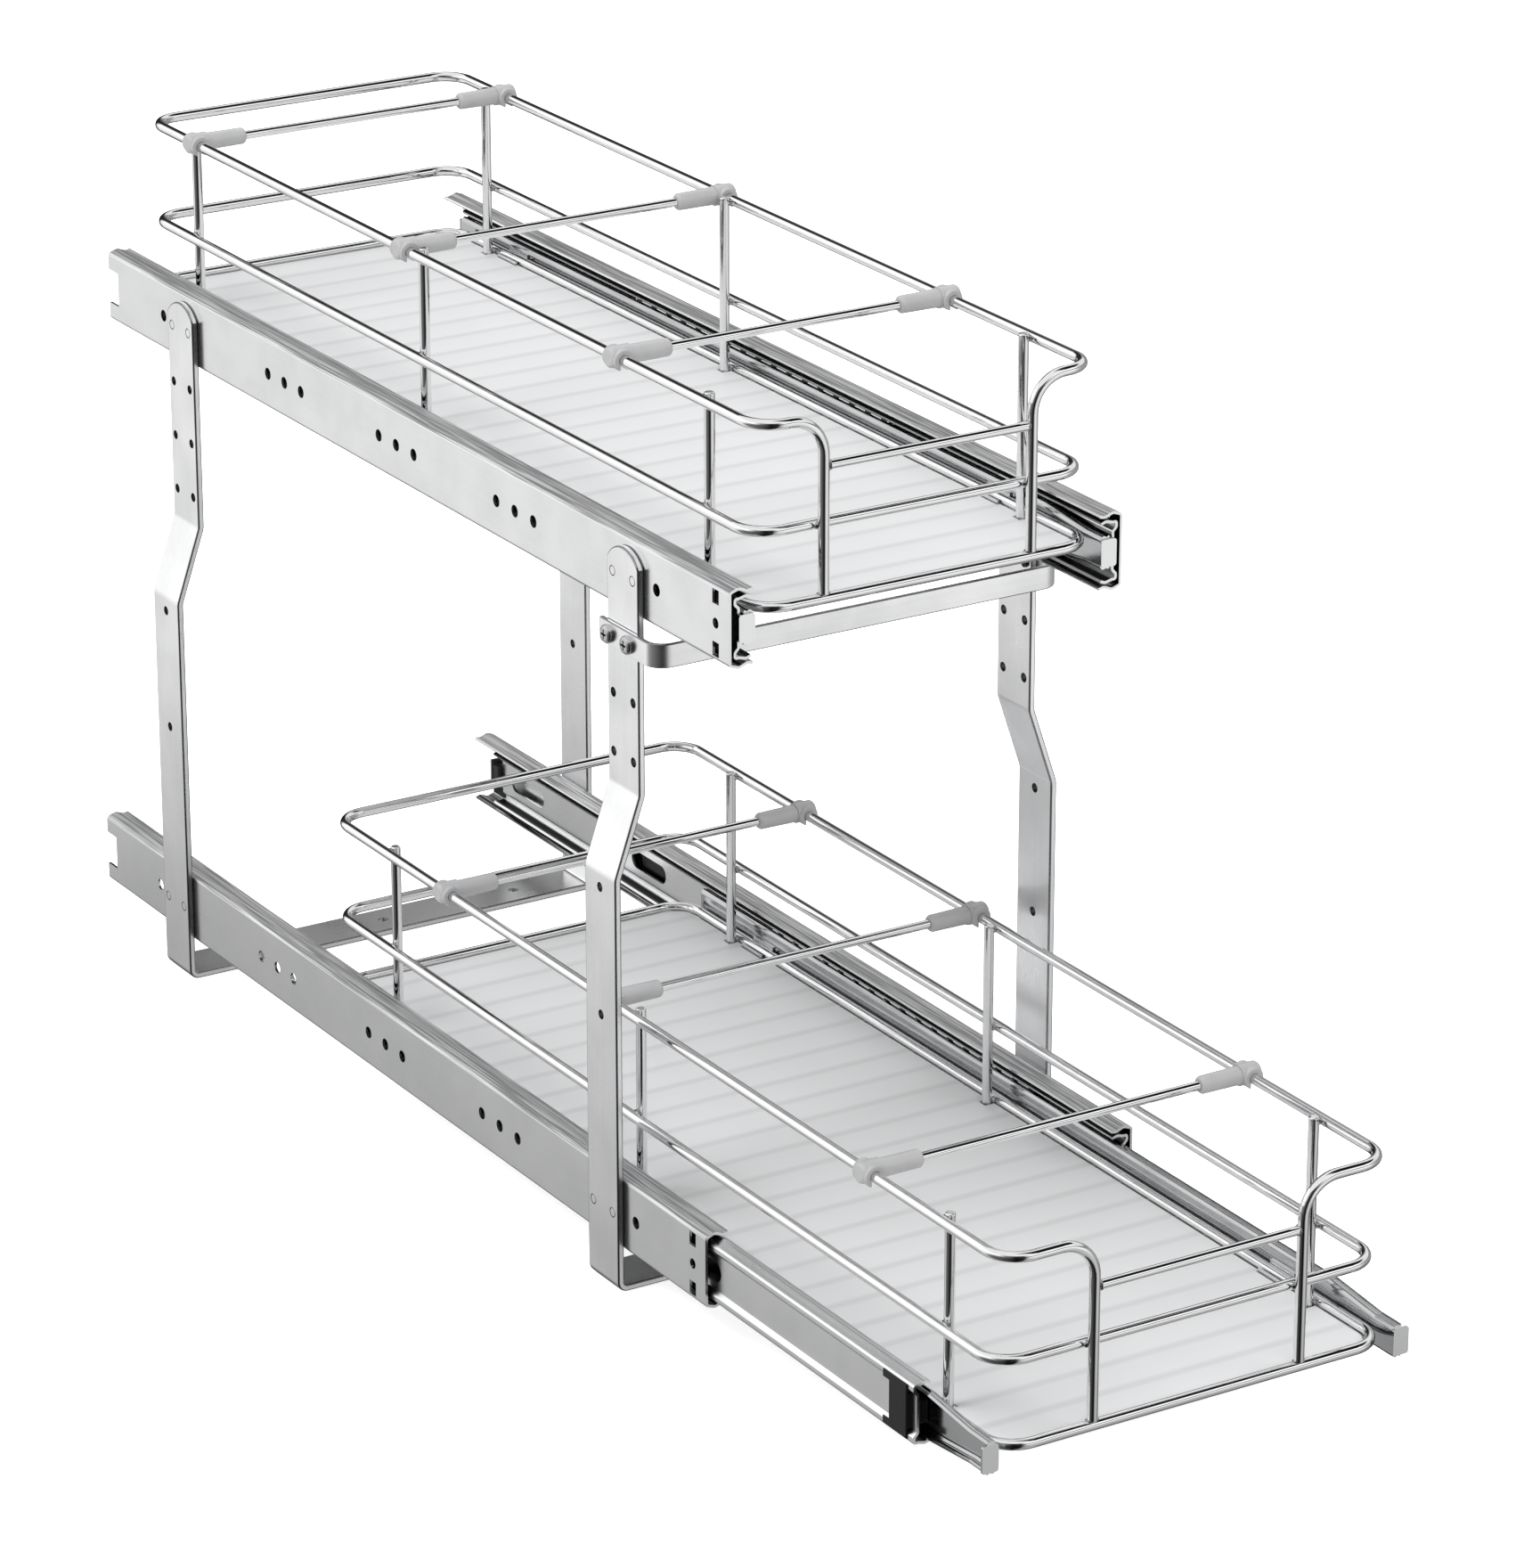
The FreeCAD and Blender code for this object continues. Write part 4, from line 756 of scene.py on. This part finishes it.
for tier in TIERS:
    for hand, side in ((-1, "left"), (1, "right")):
        low, high = box_of(f"{tier}_{side}_mid_rail")
        middle = Vector((hand * (SLIDE_WEB_X[tier] * 1000 - GUIDE_WEB_DISTANCE - GUIDE_SIZE[0] / 2),
                         low.y + GUIDE_SETBACK + GUIDE_SIZE[1] / 2, (low.z + high.z) / 2))
        bpy.ops.object.select_all(action="DESELECT")
        bpy.ops.mesh.primitive_cube_add(size=1, location=middle / 1000, scale=Vector(GUIDE_SIZE) / 1000)
        guide = bpy.context.object
        guide.name = f"{tier}_{side}_front_guide"
        bpy.ops.object.transform_apply(location=True, rotation=True, scale=True)
        bpy.ops.object.mode_set(mode="EDIT")
        bpy.ops.mesh.select_mode(type="FACE")
        bpy.ops.mesh.select_all(action="DESELECT")
        bpy.ops.object.mode_set(mode="OBJECT")
        for face in guide.data.polygons:
            face.select = face.normal.y < -FACING_FRONT
        bpy.ops.object.mode_set(mode="EDIT")
        bpy.ops.mesh.inset(thickness=GUIDE_HOLLOW_RIM / 1000, depth=0)
        bpy.ops.mesh.inset(thickness=GUIDE_HOLLOW_SLOPE / 1000, depth=-GUIDE_HOLLOW_DEPTH / 1000)
        bpy.ops.object.mode_set(mode="OBJECT")
        rounding = guide.modifiers.new("rounding", "BEVEL")
        rounding.width = GUIDE_ROUNDING / 1000
        rounding.segments = GUIDE_ROUNDING_STEPS
        bpy.ops.object.modifier_apply(modifier="rounding")
        bpy.ops.object.shade_smooth_by_angle(angle=SMOOTH_ANGLE)
        finish(guide, latch_plastic)
        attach(guide, f"{tier}_{side}_mid")


# The mats: frosted plastic sheet laid on the floor wires, with a painted shadow band over each wire under it.
MAT_EDGE_RADIUS = 0.5
MAT_EDGE_STEPS = 2
MAT_TONE = (0.62, 0.625, 0.63, 1)
# Painted shadow of the floor wires seen through the sheet.
MAT_WIRE_SHADOW_TONE = (0.53, 0.535, 0.54, 1)
MAT_ROUGHNESS = 0.42
MAT_BUMP = 0.1
MAT_SHADOW_EDGES = (0.02, 0.2)
MAT_SHADOW_FADE = 0.3
FLOOR_WIRE_PITCH = 20.5
RAIL_CLIP_Y = 205.0


def frosted_sheet(name, first_wire_y):
    """Frosted plastic, with a painted shadow over each floor wire under it that fades in towards the next
    wire.
    """
    material, tree, shader = new_material(name)
    shader.inputs["Roughness"].default_value = MAT_ROUGHNESS
    from_first = sums(tree, "SUBTRACT", along_slides(tree), first_wire_y / 1000)
    turns = sums(tree, "DIVIDE", from_first, FLOOR_WIRE_PITCH / 1000)
    # Painted shadow: darkest over each wire, and a shade that grows from one wire towards the next.
    wire_shadow = stepped(tree, sums(tree, "PINGPONG", turns, 0.5), *MAT_SHADOW_EDGES, 1.0, 0.0)
    shadow_fade_share = sums(tree, "MULTIPLY", sums(tree, "FRACT", turns), MAT_SHADOW_FADE)
    tone = layered(tree, sums(tree, "MAXIMUM", wire_shadow, shadow_fade_share), MAT_TONE, MAT_WIRE_SHADOW_TONE)
    grain = joined(tree, "Group", node_tree=moulding).outputs["Grain"]
    bumps = joined(tree, "Bump", ("Height", grain), ("Strength", MAT_BUMP), ("Distance", BUMP_DEPTH))
    tree.links.new(tone, shader.inputs["Base Color"])
    tree.links.new(bumps.outputs["Normal"], shader.inputs["Normal"])
    return material


for tier in TIERS:
    first_wire = RAIL_CLIP_Y + FLOOR_WIRE_PITCH / 2 - PULLED_OUT[tier]
    frosting = frosted_sheet(tier + "_mat_frosting", first_wire)
    rounded_copy(tier + "_mat", tier + "_frosted_mat", MAT_EDGE_RADIUS, tier + "_drawer",
                 (frosting,), steps=MAT_EDGE_STEPS)
